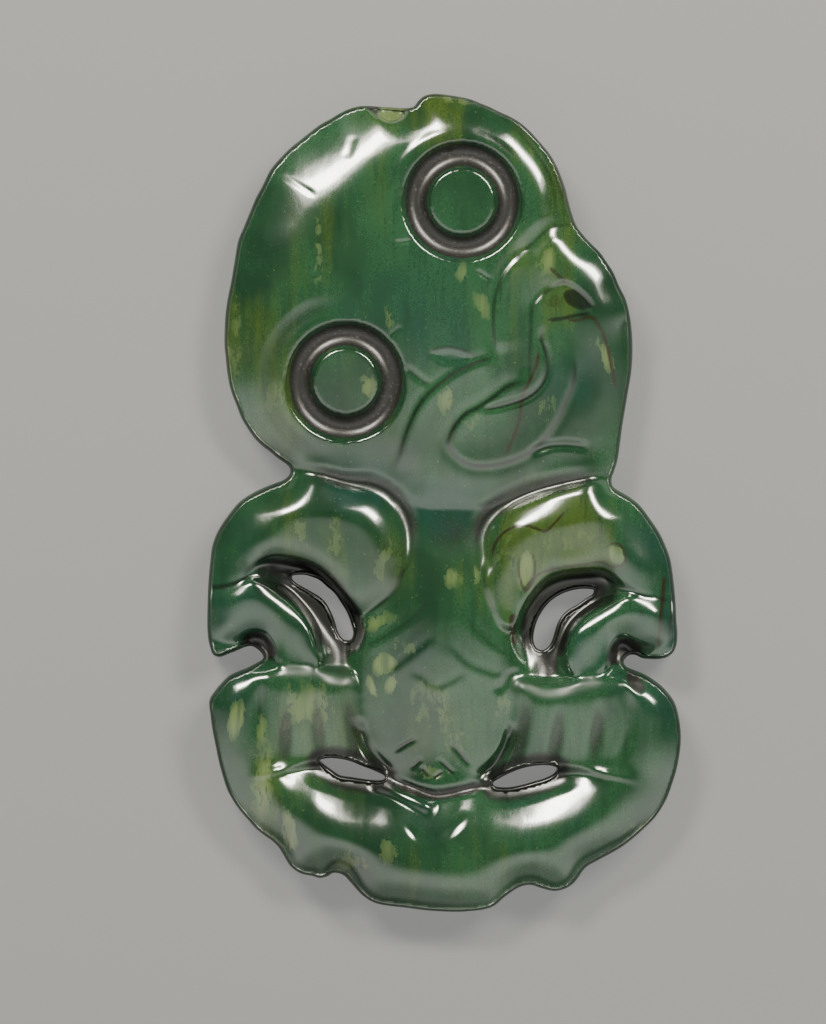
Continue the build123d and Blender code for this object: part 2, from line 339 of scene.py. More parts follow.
# %% The web between the forms, and the forms
MIDDLE = 4.2
WEB = [
    (300, 470, 8.7), (340, 477, 8.5), (380, 487, 8.1), (405, 510, 7.6), (412, 545, 7.4),
    (600, 480, 9.5), (565, 483, 8.9), (520, 494, 8.0), (490, 515, 7.5), (478, 545, 7.2),
    (445, 515, 6.9), (446, 550, 7.2), (400, 582, 8.0), (372, 610, 7.4), (484, 580, 7.9),
    (503, 620, 7.6), (300, 580, 4.9), (325, 590, 4.9), (345, 625, 4.9), (341, 665, 5.6),
    (590, 592, 4.9), (560, 600, 4.9), (536, 640, 4.9), (548, 675, 5.6), (212, 587, 9.3),
    (240, 582, 8.8), (668, 600, 9.4), (640, 594, 8.9), (262, 646, 5.4), (630, 648, 5.4),
    (290, 668, 8.8), (315, 668, 8.8), (590, 678, 8.8), (258, 690, 9.4), (260, 745, 8.2),
    (630, 705, 9.2), (625, 748, 8.2), (270, 768, 9.4), (300, 769, 7.4), (325, 775, 6.2),
    (350, 770, 5.4), (386, 778, 5.4), (440, 790, 6.8), (494, 783, 5.4), (525, 776, 5.6),
    (580, 772, 7.2), (555, 775, 6.2), (610, 770, 9.4), (360, 745, 6.6), (510, 745, 6.6),
    (354, 680, 7.0), (526, 680, 7.0), (400, 300, 8.5), (300, 350, 8.5), (550, 300, 8.5),
    (320, 440, 8.4), (450, 450, 8.0), (570, 440, 8.4), (228, 720, 8.5), (300, 840, 8.0),
    (430, 860, 8.0), (560, 850, 8.0), (662, 730, 8.5), (250, 520, 8.5), (350, 540, 8.5),
    (560, 530, 8.5), (650, 560, 8.5), (440, 680, 7.0)]

# A form has a fillet where it meets the others and an outline, and three lists of notes: how far
# its edge lifts over the web, its heights, and the widths in which it rounds down to its edge
Form = namedtuple("Form", "name fillet lifts heights widths outline")
FORMS = [
    Form("torso", fillet=0.8,
         lifts=[(440, 600, 0.0)],
         heights=[(445, 512, 7.0), (446, 545, 7.9), (444, 580, 9.2), (440, 620, 9.9),
                  (440, 655, 9.6), (440, 695, 8.6), (438, 735, 7.4), (438, 765, 6.5),
                  (385, 640, 9.1), (372, 680, 8.4), (380, 725, 7.4), (495, 640, 9.2),
                  (508, 680, 8.4), (500, 725, 7.4)],
         widths=[(390, 530, 24), (500, 530, 24), (352, 660, 28), (526, 680, 28), (438, 786, 30)],
         outline=[(398, 478), (440, 478), (500, 478), (506, 530), (508, 580), (512, 620),
                  (524, 650), (527, 690), (514, 728), (508, 745), (497, 764), (475, 778),
                  (438, 786), (400, 779), (378, 764), (364, 740), (355, 705), (350, 675),
                  (350, 640), (354, 618), (378, 590), (390, 560), (392, 520)]),
    Form("legs", fillet=0.6,
         lifts=[(440, 800, 0.2)],
         heights=[(230, 720, 10.4), (240, 780, 10.6), (300, 845, 10.8), (340, 828, 11.0),
                  (395, 836, 10.2), (435, 838, 9.8), (430, 868, 10.4), (480, 842, 9.7),
                  (530, 846, 10.5), (580, 846, 11.1), (650, 760, 10.7), (655, 700, 10.2),
                  (236, 690, 10.2)],
         widths=[(258, 700, 24), (262, 760, 44), (300, 775, 66), (350, 785, 80), (385, 790, 76),
                 (430, 800, 50), (500, 790, 76), (560, 780, 86), (610, 775, 64), (630, 720, 30),
                 (640, 675, 20)],
         outline=[(256, 660), (258, 700), (259, 740), (266, 762), (290, 768), (322, 770),
                  (352, 780), (384, 785), (408, 794), (432, 800), (462, 795), (494, 790),
                  (525, 788), (552, 780), (580, 774), (606, 772), (622, 764), (630, 740),
                  (631, 712), (628, 690), (640, 660), (700, 620), (760, 720), (740, 860),
                  (620, 960), (430, 990), (260, 940), (160, 820), (130, 700), (180, 640),
                  (240, 640)]),
    Form("left hand", fillet=0.6,
         lifts=[(260, 668, 0.4), (300, 670, 0.7), (330, 670, 1.6), (350, 678, 1.4), (355, 710, 0.3),
                (300, 768, 1.2), (340, 764, 2.0), (375, 764, 1.2)],
         heights=[(235, 700, 10.2), (235, 760, 10.2), (300, 695, 10.0), (345, 700, 9.3),
                  (262, 730, 9.7), (300, 728, 9.2), (300, 757, 8.3), (355, 740, 8.2)],
         widths=[(240, 667, 26), (300, 667, 28), (200, 720, 26), (360, 690, 24), (300, 768, 12),
                 (365, 750, 16)],
         outline=[(263, 660), (275, 665), (300, 667), (335, 670), (352, 673), (362, 700),
                  (366, 730), (374, 752), (386, 772), (365, 768), (340, 764), (320, 762),
                  (290, 768), (258, 776), (180, 800), (130, 720), (180, 640), (240, 645)]),
    Form("right hand", fillet=0.6,
         lifts=[(640, 668, 0.4), (600, 678, 0.7), (550, 682, 2.0), (526, 684, 1.4), (520, 715, 0.3),
                (590, 772, 1.2), (540, 768, 2.0), (503, 770, 1.2)],
         heights=[(650, 707, 10.1), (655, 760, 10.3), (585, 702, 9.9), (530, 706, 9.2),
                  (622, 735, 9.6), (580, 732, 9.1), (575, 760, 8.3), (518, 742, 8.2)],
         widths=[(575, 678, 28), (640, 670, 24), (690, 720, 26), (512, 700, 24), (570, 772, 12),
                 (505, 755, 16)],
         outline=[(518, 681), (545, 682), (600, 677), (624, 670), (640, 664), (700, 640),
                  (760, 720), (700, 800), (624, 778), (600, 773), (558, 767), (525, 772),
                  (494, 783), (500, 765), (510, 740), (511, 710)]),
    Form("left upper arm", fillet=0.4,
         lifts=[(400, 530, 0.3), (340, 486, 0.3), (303, 477, 0.3), (286, 476, 1.2), (262, 486, 2.2),
                (225, 515, 2.2), (240, 572, 0.4), (262, 562, 1.6), (300, 562, 4.0), (340, 590, 3.8),
                (372, 612, 0.6), (230, 588, 0.2)],
         heights=[(290, 528, 11.0), (232, 555, 10.1), (280, 550, 10.5), (345, 535, 10.7),
                  (330, 563, 10.3), (382, 570, 9.9), (360, 600, 9.2), (235, 580, 9.7)],
         widths=[(300, 480, 50), (400, 530, 44), (262, 562, 20), (300, 562, 24), (335, 585, 24),
                 (372, 612, 26), (230, 588, 26), (408, 560, 34)],
         outline=[(290, 474), (303, 476), (330, 481), (360, 491), (377, 498), (390, 508),
                  (400, 522), (407, 538), (410, 556), (400, 580), (386, 599), (372, 609),
                  (358, 612), (350, 602), (336, 585), (318, 569), (300, 561), (280, 558),
                  (262, 560), (250, 568), (240, 581), (222, 587), (150, 590), (180, 560),
                  (196, 532), (212, 508), (236, 488), (258, 478), (276, 472)]),
    Form("right upper arm", fillet=0.4,
         lifts=[(490, 530, 0.3), (552, 490, 0.4), (575, 485, 0.9), (598, 481, 1.1), (618, 485, 1.4),
                (640, 497, 2.4), (665, 530, 2.2), (640, 588, 0.4), (618, 580, 1.4), (580, 573, 4.0),
                (535, 592, 3.8), (515, 620, 2.0), (650, 595, 0.2)],
         heights=[(550, 534, 11.1), (600, 532, 11.0), (650, 560, 10.1), (505, 565, 10.1),
                  (508, 600, 9.2), (532, 562, 10.4), (585, 552, 10.5), (640, 585, 9.7)],
         widths=[(545, 493, 48), (495, 540, 42), (535, 592, 22), (585, 573, 24), (640, 592, 26),
                 (510, 625, 22), (600, 480, 42)],
         outline=[(612, 484), (598, 481), (570, 486), (545, 492), (528, 498), (514, 505),
                  (501, 514), (491, 525), (485, 536), (482, 552), (484, 580), (492, 605),
                  (503, 625), (514, 628), (521, 612), (529, 597), (540, 584), (555, 575),
                  (576, 571), (602, 572), (618, 581), (640, 593), (662, 597), (740, 600),
                  (706, 560), (690, 532), (672, 508), (652, 490), (630, 479)]),
    Form("left forearm", fillet=0.4,
         lifts=[(230, 583, 0.0), (262, 582, 1.2), (285, 592, 3.2), (310, 620, 3.4), (316, 650, 2.6),
                (225, 655, 0.5), (265, 640, 2.4), (300, 670, 0.0)],
         heights=[(225, 606, 10.0), (262, 605, 10.1), (290, 630, 9.8), (300, 657, 8.8),
                  (225, 640, 8.9), (258, 628, 9.3)],
         widths=[(240, 583, 26), (300, 605, 34), (316, 640, 32), (225, 655, 30), (265, 640, 22),
                 (300, 670, 28)],
         outline=[(150, 586), (222, 586), (240, 582), (252, 580), (268, 583), (284, 592),
                  (300, 609), (312, 629), (317, 648), (319, 664), (312, 671), (296, 670),
                  (284, 666), (276, 656), (271, 643), (263, 633), (250, 632), (241, 640),
                  (232, 648), (215, 665), (180, 700), (130, 650)]),
    Form("right forearm", fillet=0.4,
         lifts=[(650, 597, 0.0), (622, 597, 1.2), (600, 604, 3.2), (574, 628, 3.4), (566, 655, 2.6),
                (655, 660, 0.5), (620, 645, 2.4), (585, 678, 0.0)],
         heights=[(655, 616, 10.0), (615, 618, 10.0), (590, 640, 9.7), (585, 662, 8.8),
                  (655, 645, 8.8), (625, 634, 9.2)],
         widths=[(640, 597, 26), (590, 615, 34), (566, 645, 32), (655, 660, 30), (620, 640, 22),
                 (590, 678, 28)],
         outline=[(740, 602), (672, 602), (655, 598), (636, 596), (618, 597), (602, 604),
                  (586, 615), (574, 628), (567, 643), (565, 660), (570, 672), (580, 678),
                  (592, 677), (602, 670), (610, 658), (613, 646), (618, 638), (626, 637),
                  (634, 646), (644, 654), (668, 664), (700, 690), (760, 660)]),
    Form("head", fillet=0.3,
         lifts=[(440, 500, 0.3)],
         heights=[(400, 210, 11.7), (300, 250, 11.4), (480, 300, 11.5), (300, 350, 11.0),
                  (400, 350, 11.2), (560, 300, 11.3), (560, 370, 10.8), (250, 400, 10.6),
                  (320, 440, 9.6), (450, 410, 10.3), (440, 470, 8.9), (540, 430, 9.9),
                  (590, 440, 9.8)],
         widths=[(300, 466, 40), (350, 470, 44), (400, 490, 44), (450, 506, 50), (540, 485, 50),
                 (605, 478, 44)],
         outline=[(290, 463), (305, 467), (322, 469), (340, 472), (356, 473), (372, 473),
                  (388, 480), (402, 491), (413, 501), (430, 506), (455, 507), (480, 505),
                  (500, 500), (520, 493), (540, 485), (560, 480), (580, 478), (600, 477),
                  (618, 481), (720, 470), (760, 100), (500, -20), (250, 0), (100, 200), (100, 420),
                  (250, 440)])]


# %% All the forms together
WEAR, FALL = 3, 3


def swelling(points):
    """The height of the forms over each point: the web, then each pillow blended into it.

    A pillow's floor is the web plus its lift. From there it rises to the plate through its
    heights by domed(depth inside / width). Outside its outline it falls away by a millimetre to
    the square, for FALL squares.
    """
    web = spread(points, WEB)
    surface = web.copy()
    for form in FORMS:
        edge = flowing(form.outline, closed=True, step=4)
        chosen = near_box(points, edge, FALL)
        here = points[chosen]
        depth = depth_inside(here, edge)
        floor = web[chosen] + spread(here, form.lifts)
        rise = (draped(here, form.heights) - floor) * domed(depth / spread(here, form.widths))
        pillow = np.where(depth > 0, floor + rise, floor + depth)
        surface[chosen] = blended(surface[chosen], pillow, form.fillet)
    return surface


forms = worn(swelling(field_spots), WEAR)
print("forms:", ", ".join(form.name for form in FORMS))
print("they stand", round(forms.min(), 2), "to", round(forms.max(), 2), "mm high")

# %% [markdown]
# ## The slab's rim
#
# Rubbed on sandstone, the slab lost its corners all round. A Bevel modifier would take the same
# off everywhere, but the real front falls away broadly at the head and the feet, and tightly at
# the neck and the wrists. So three lists of notes say how the rim is shaped at each place: how
# wide its own quarter circle is, what share of the height that takes, and how far in the broad
# dome behind it reaches.

# %% The rim's notes, and the dome behind it
EDGES = [(300, 300, 2.2), (380, 107, 2.2), (430, 95, 3), (480, 103, 4), (510, 116, 4.5),
         (540, 142, 4.5), (562, 178, 4), (573, 216, 3), (594, 246, 2.5), (630, 300, 2.2),
         (620, 440, 2.2), (440, 600, 2.2), (300, 800, 2.2), (600, 800, 2.2)]
EDGE_SHARES = [(300, 300, 0.28), (312, 130, 0.24), (262, 190, 0.3), (285, 152, 0.26),
               (350, 110, 0.34), (380, 107, 0.44), (440, 94, 0.44), (470, 99, 0.44),
               (490, 107, 0.52), (520, 122, 0.6), (545, 148, 0.6), (562, 178, 0.58),
               (573, 216, 0.52), (590, 240, 0.46), (606, 264, 0.66), (622, 296, 0.6),
               (632, 350, 0.3), (650, 515, 0.4), (640, 672, 0.5), (660, 684, 0.5),
               (232, 674, 0.6), (250, 667, 0.6), (230, 510, 0.36), (440, 600, 0.28),
               (300, 800, 0.28), (600, 800, 0.28)]
EDGE_ROUNDS = [
    (300, 140, 112), (340, 115, 104), (262, 190, 96), (240, 240, 80), (225, 330, 70),
    (240, 430, 62), (285, 460, 38), (390, 107, 60), (430, 95, 56), (480, 105, 42),
    (530, 135, 38), (560, 180, 36), (572, 220, 42), (598, 250, 42), (622, 290, 38),
    (632, 360, 50), (620, 440, 50), (612, 482, 38), (650, 515, 58), (674, 580, 40),
    (676, 640, 26), (640, 656, 16), (624, 662, 12), (650, 676, 32), (680, 740, 50),
    (655, 818, 56), (600, 860, 50), (540, 888, 46), (440, 912, 46), (350, 885, 46),
    (290, 866, 50), (240, 810, 52), (215, 745, 40), (212, 695, 36), (240, 670, 34),
    (262, 656, 12), (240, 650, 12), (212, 650, 26), (207, 600, 40), (215, 535, 52),
    (250, 492, 58), (288, 472, 38)]
CHIP_FADE = 50
DOME_WEAR = 5


def rim_dome(points):
    """The broad dome that the slab's front follows: 0 at the rim, 1 in the middle.

    Inwards it passes from the real outline's depth to the calm one's, so the chips of the edge
    don't ripple the whole surface: real + (calm - real) * eased(real / CHIP_FADE).
    """
    real = depth_inside(points, outline)
    broad = real + (depth_inside(points, calm) - real) * eased(real / CHIP_FADE)
    return domed(broad / spread(points, EDGE_ROUNDS))


dome = worn(rim_dome(field_spots), DOME_WEAR)
print("share of the slab's front that is level:", round((dome > 0.99).sum() / (dome > 0).sum(), 2))

# %% [markdown]
# ## Cutting into the forms
#
# Four cuts make all the detail. A groove takes out a round-bottomed channel along a line. A
# fold raises one side of a line over the other, as where one rib laps over the next. A ring is a
# groove about an eye, and a hollow sinks what an outline holds. Knives from a boolean could cut
# them, but only with hard walls, and a brush couldn't be set by numbers. Each cut also marks how
# satin the stone is there, because a carver can't reach into a groove to polish it, and most
# lay a dark line of painted shade along their bottoms.

# %% The cuts, and the marks that they leave
# The marks, in order: satin, ground but not polished; a dull mark, neither ground nor polished,
# and darkened by painted shade; painted shade, dark along cuts, in hollows and in the gaps' walls;
# pale flecks, with the painted glow of light through the thin stone at the cord notch; brown
# veins; and where the green turns yellow or blue
MARKS = ["satin", "dull", "crease", "pale", "vein", "tint"]
# How wide, in squares, a line of painted shade along a cut is
CREASE = 2.2


class Relief:
    """The surface over a set of points: its height, and how strong each mark is there."""

    def __init__(self, points):
        self.points = points
        self.height = sampled(forms, points)
        self.marks = np.zeros((len(points), len(MARKS)))

    def beside(self, spots, reach, fade, start=0.02):
        """The points near a line: which they are, their distance, their side, and their strength.

        The strength is 1 along the line and eases off over a share of it at both ends.
        """
        line = flowing(spots)
        chosen = near_box(self.points, line, reach)
        distance, side, passed = measured(self.points[chosen], line)
        return chosen, distance, side, eased(np.minimum(passed, 1 - passed) / fade + start)

    def mark(self, kind, chosen, strength):
        """Strengthens one kind of mark at the chosen points, where it was weaker."""
        column = MARKS.index(kind)
        self.marks[chosen, column] = np.maximum(self.marks[chosen, column], strength)

    def line(self, kind, spots, wide, strength=1.0, fade=0.15):
        """Marks a thin line: strength * e^-(distance / wide)^2, fading at both ends."""
        chosen, distance, _, ends = self.beside(spots, 3 * wide, fade, start=0.1)
        self.mark(kind, chosen, strength * ends * np.exp(-(distance / wide) ** 2))

    def groove(self, spots, wide, deep, satin=0.0, crease=0.0, fade=0.25):
        """Takes out deep * (1 - (distance / wide)^2)^2, fading at both ends."""
        chosen, distance, _, ends = self.beside(spots, wide, fade)
        cut = np.clip(1 - (distance / wide) ** 2, 0, 1) ** 2 * ends
        self.height[chosen] -= deep * cut
        self.mark("satin", chosen, satin * np.clip(1.6 * cut, 0, 1))
        # A line of painted shade along the groove's bottom
        if crease:
            self.line("crease", spots, CREASE, crease, fade)

    def fold(self, spots, high, low, wide, raised, sunk, crease, fade=0.2):
        """Raises the right side of a line by raised * (1 - distance / high)^2, and sinks its left.

        Between the two, the surface crosses over within wide of the line.
        """
        chosen, distance, side, ends = self.beside(spots, max(high, low), fade)
        over = eased(0.5 + side * distance / wide / 2)
        up = np.clip(1 - distance / high, 0, 1) ** 2 * raised
        down = np.clip(1 - distance / low, 0, 1) ** 2 * sunk
        self.height[chosen] += (over * up - (1 - over) * down) * ends
        # A line of painted shade along the fold
        self.line("crease", spots, CREASE, crease, fade)

    def ring(self, centre, inner, outer, deep):
        """A round-bottomed ring about a flat disc: deep * sin(pi * share of the width)^0.7."""
        away = np.linalg.norm(self.points - centre, axis=1)
        share = np.clip((away - inner) / (outer - inner), 0, 1)
        cut = np.sin(pi * share) ** 0.7
        self.height -= deep * cut
        self.mark("satin", slice(None), np.clip(2.5 * cut - 0.7, 0, 1))
        # Lines of painted shade along the disc's edge and the ring's outer edge
        for radius in (inner, outer):
            self.mark("crease", slice(None), 0.5 * np.exp(-((away - radius) / 2) ** 2))

    def hollow(self, spots, wide, deep, satin=0.0):
        """Sinks the inside of an outline by deep, eased down over a width."""
        line = flowing(spots, closed=True)
        chosen = near_box(self.points, line, 0)
        depth = depth_inside(self.points[chosen], line)
        cut = eased(depth / wide)
        self.height[chosen] -= deep * cut
        self.mark("satin", chosen, satin * cut)

    def patch(self, kind, column, row, half_wide, half_high, lean=0, strength=1.0):
        """Marks an oval that leans so many degrees to the right: strength * (1 - distance^2)."""
        turn = radians(lean)
        across, down = (self.points - (column, row)).T
        along = (across * cos(turn) + down * sin(turn)) / half_wide
        beside = (down * cos(turn) - across * sin(turn)) / half_high
        self.mark(kind, slice(None), strength * np.clip(1 - along ** 2 - beside ** 2, 0, 1))


# %% [markdown]
# ## The face
#
# The head leans to one shoulder. Each eye is a disc in a ring, ground round and true, so it is a
# formula about a centre and not a line of spots. The muzzle stands a little over the face, and
# the mouth curls round its tongue: both are folds, because the real edges rise on one side only.

# %% The eyes, the brow and the muzzle
UPPER_EYE, LOWER_EYE = (462, 203.5), (346, 382)
EYE_DISC, EYE_RING, EYE_DEEP = 32, 60, 2.1


def arc(centre, radius, *degrees):
    """Spots on a circle about a centre, at angles counted anticlockwise from the right."""
    angles = np.radians(degrees)
    return np.stack([centre[0] + radius * np.cos(angles),
                     centre[1] - radius * np.sin(angles)], axis=1)


def carve_face(relief):
    """The eyes, the cord notch, the muzzle's edge, the cheek, the brow and the nose, with lines of
    painted shade along their cuts.
    """
    for eye in (UPPER_EYE, LOWER_EYE):
        relief.ring(eye, EYE_DISC, EYE_RING, EYE_DEEP)
    relief.groove(arc(LOWER_EYE, 78, 88, 120, 150, 180, 210, 240, 268), 13, 0.3, satin=0.35)
    relief.fold(arc(UPPER_EYE, 74, 178, 150, 120, 95), 18, 16, 5, 0.1, 0.1, crease=0.3)
    relief.groove([(466, 130), (478, 134), (492, 141), (506, 151), (518, 163)], 4, 0.06,
                  crease=0.7)
    # The cord notch: a scoop worn down to the back, between two broken shoulders
    relief.hollow([(374, 96), (376, 110), (378, 118), (383, 123), (390, 125), (398, 124), (404, 120),
                   (408, 113), (412, 96)], 5, 4.4)
    # Painted light: the pale glow of light through the thin stone of the notch
    relief.patch("pale", 391, 113, 17, 14, strength=1.6)
    relief.hollow([(352, 96), (361, 107), (369, 115), (378, 122), (380, 96)], 6, 2.4, satin=0.8)
    # The muzzle: its edge from the brow to the corner of the nose, and on to the chin
    relief.fold([(497, 357), (494, 340), (493, 318), (495, 298), (502, 278), (513, 263),
                 (532, 246)], 34, 14, 6, 0.45, 0.35, crease=0.6, fade=0.12)
    relief.fold([(397, 472), (400, 455), (404, 440), (409, 426), (416, 411), (427, 396),
                 (443, 382), (460, 371), (478, 363), (497, 357)], 36, 14, 7, 0.4, 0.25,
                crease=0.8, fade=0.12)
    # The groove over the cheek, and the bevel of the brow
    relief.groove([(512, 266), (530, 247), (546, 233), (562, 227), (582, 225)], 15, 0.5,
                  crease=0.5)
    relief.groove([(556, 224), (554, 196), (551, 183), (547, 173), (540, 161), (530, 148),
                   (518, 134), (500, 121)], 4, 0.15, crease=0.6)
    # Painted shade darkens the brow's steep outer bevel
    relief.line("crease", [(490, 108), (520, 128), (544, 152), (557, 178), (564, 210)], 6, 0.45)
    # The nose
    relief.hollow([(427, 354), (438, 350), (450, 349), (466, 353), (478, 359), (462, 366),
                   (446, 368), (436, 363)], 7, 0.25)
    relief.line("crease", [(429, 353), (440, 349.5), (452, 349), (466, 353), (480, 360)], 1.8, 0.8)
    relief.groove([(404, 366), (412, 373), (424, 382), (432, 386)], 6, 0.15, crease=0.6)
    relief.groove([(389, 339), (395, 333), (402, 327)], 4, 0.12, crease=0.4)
    # Slips of the tool, and old nicks
    relief.groove([(446, 150), (449.5, 156), (453, 150)], 3, 0.2, crease=0.4)
    relief.groove([(475, 272), (483, 277), (491, 283)], 3, 0.25, crease=0.5)
    relief.groove([(393, 245), (413, 243)], 3, 0.2)
    relief.groove([(280, 173), (300, 187), (318, 199)], 4, 0.12, crease=0.3)
    relief.groove([(354, 136), (351, 148), (346, 162)], 7, 0.1)


print("the eyes are", round(2 * EYE_RING * SQUARE[0] / MM, 1), "mm across and", EYE_DEEP, "mm deep")


# %% The mouth and the tongue
def carve_mouth(relief):
    """The two folds of the throat, the pit, the rim round the mouth, and the tongue, with painted
    shade in the pit and along the cuts.
    """
    relief.fold([(530, 384), (529, 360), (530, 335), (532, 310), (541, 297), (552, 288),
                 (561, 283)], 12, 26, 5, 0.1, 0.5, crease=0.5, fade=0.15)
    relief.fold([(596, 320), (592, 306), (579, 292), (563, 284), (550, 290), (541, 303)],
                7, 24, 4, 0.05, 0.5, crease=0.6)
    # Painted shade darkens the pit, and the line along its ledge
    relief.patch("crease", 577, 301, 17, 10, 25, 2.2)
    relief.patch("vein", 554, 303, 17, 15, 0, 0.55)
    relief.line("crease", [(545, 322), (560, 320), (575, 317), (592, 314)], 2.2, 0.9)
    # The mouth's rim: down its left side, round the bottom and up its right side
    relief.fold([(571, 352), (574, 366), (573, 382), (566, 401), (557, 420), (545, 438),
                 (531, 452), (512, 461), (490, 466), (470, 465), (456, 457), (448, 445),
                 (450, 435), (456, 425), (465, 415), (478, 408), (493, 398), (508, 387),
                 (530, 380)], 26, 16, 7, 0.2, 0.3, crease=0.85, fade=0.08)
    relief.groove([(543, 325), (541, 340), (545, 352), (547, 366), (544, 380), (535, 392),
                   (522, 400), (503, 406), (478, 411)], 6, 0.3, crease=0.85, fade=0.12)
    relief.groove([(526, 455), (542, 448), (560, 445), (576, 446), (592, 449)], 7, 0.35,
                  crease=0.6)
    relief.groove([(572, 322), (584, 345), (589, 370), (584, 396), (570, 420)], 20, 0.4,
                  fade=0.5)


# %% [markdown]
# ## The body
#
# The ribs meet over the belly in chevrons, each lapping over the next, so they are folds. Flutes
# part the fingers, and deep grooves ring the gaps inside the elbows, where the slab was drilled
# through and filed open with sand. Each kind is a short list, cut in one loop.

# %% The ribs and the fingers
# The ribs: spots, how far the fold reaches on each side, how high it rises, how dark the painted
# shade in its crease is
RIBS = [
    ([(360, 644), (374, 642), (388, 634), (402, 625), (416, 614), (426, 603), (431, 592)],
     26, 14, 0.2, 0.5),
    ([(384, 673), (396, 667), (408, 658), (422, 647), (436, 635)], 24, 12, 0.15, 0.4),
    ([(455, 600), (463, 613), (472, 626), (484, 638), (498, 647), (514, 651)], 26, 14, 0.2, 0.4),
    ([(446, 641), (456, 653), (468, 664), (484, 671), (500, 675), (522, 668)],
     24, 12, 0.15, 0.35),
    ([(408, 669), (420, 677), (438, 687), (456, 679), (468, 671)], 24, 12, 0.15, 0.35)]


def carve_body(relief):
    """The ribs and the marks under them, the fingers, and the creases round the legs, with lines of
    painted shade along most cuts.
    """
    for spots, high, low, raised, crease in RIBS:
        relief.fold(spots, high, low, 8, raised, 0.15, crease)
    relief.groove([(524, 671), (511, 675), (502, 684), (494, 694)], 8, 0.35, crease=0.3)
    for spots in [[(393, 752), (405, 744), (418, 737)], [(450, 741), (460, 753), (471, 767)],
                  [(411, 769), (422, 757)], [(437, 757), (448, 768), (456, 775)],
                  [(420, 765), (430, 778)], [(432, 779), (444, 770)]]:
        relief.groove(spots, 3.5, 0.25, crease=0.9)
    # The creases beside the belly
    for spots in [[(356, 715), (361, 730), (368, 748), (380, 763), (396, 776)],
                  [(512, 720), (509, 738), (502, 754), (490, 768), (472, 780)]]:
        relief.groove(spots, 9, 1.2, satin=0.4, crease=0.8)
    # The flutes between the fingers, wider towards the fingertips
    for spots in [[(287, 688), (286, 730), (283, 780)], [(316, 684), (318, 725), (323, 778)],
                  [(346, 680), (351, 720), (360, 780)], [(530, 680), (522, 730), (506, 790)],
                  [(562, 692), (557, 730), (546, 785)], [(600, 692), (597, 725), (589, 772)]]:
        relief.groove(spots, 11, 0.5, satin=0.55, fade=0.5)
    # The creases between the hands and the legs
    relief.groove([(258, 664), (260, 684), (260, 706), (260, 740)], 11, 0.5, satin=0.2,
                  crease=0.6, fade=0.5)
    relief.groove([(622, 670), (624, 684), (629, 702), (629, 722), (624, 748), (612, 764)], 10,
                  0.5, satin=0.2, crease=0.3, fade=0.4)
    relief.groove([(626, 668), (635, 682), (644, 694)], 9, 0.7, satin=1.0, crease=0.3, fade=0.4)
    # The legs drop steeply into the gaps over them
    for spots in [[(296, 770), (322, 777), (352, 786), (384, 793), (404, 800)],
                  [(484, 797), (510, 795), (536, 789), (560, 781), (584, 774)]]:
        relief.groove(spots, 13, 0.45, crease=0.6)
    # The toes, and the strip of web over the crotch
    relief.groove([(404, 819), (413, 831), (424, 843)], 6, 0.25, crease=0.4, fade=0.5)
    relief.groove([(472, 807), (458, 822), (436, 843)], 9, 0.35, crease=0.3, fade=0.5)
    relief.groove([(366, 781), (386, 786), (410, 796), (438, 811)], 11, -1.0, fade=0.2)
    relief.groove([(386, 779), (408, 787), (434, 794), (462, 790), (494, 782)], 8, 0.6,
                  satin=0.9, fade=0.2)


# %% The hollows round the gaps, and behind the shoulders
# The grooves round the gaps inside the elbows: spots and width
ELBOWS = [
    ([(256, 572), (280, 568), (304, 570), (326, 584), (344, 604), (354, 628), (352, 650)], 15),
    ([(268, 582), (296, 594), (314, 612), (326, 634), (332, 656)], 13),
    ([(612, 584), (584, 583), (560, 588), (542, 602), (531, 622), (528, 646)], 15),
    ([(610, 596), (584, 606), (568, 620), (559, 640), (556, 664)], 12)]
# Where light hardly reaches: spots, width and how dark
SHADES = [
    ([(248, 576), (276, 577), (302, 584), (324, 602), (338, 626), (341, 650)], 18, 1.3),
    ([(624, 589), (596, 590), (568, 597), (550, 614), (543, 636), (545, 660)], 18, 1.3),
    ([(208, 587), (225, 586), (240, 581), (252, 574)], 3, 0.8),
    ([(612, 584), (630, 592), (650, 597), (672, 601)], 3, 0.6),
    ([(410, 560), (398, 580), (386, 598), (372, 609), (358, 613)], 3, 0.6),
    ([(484, 560), (485, 585), (493, 606), (505, 626)], 2.5, 0.4)]


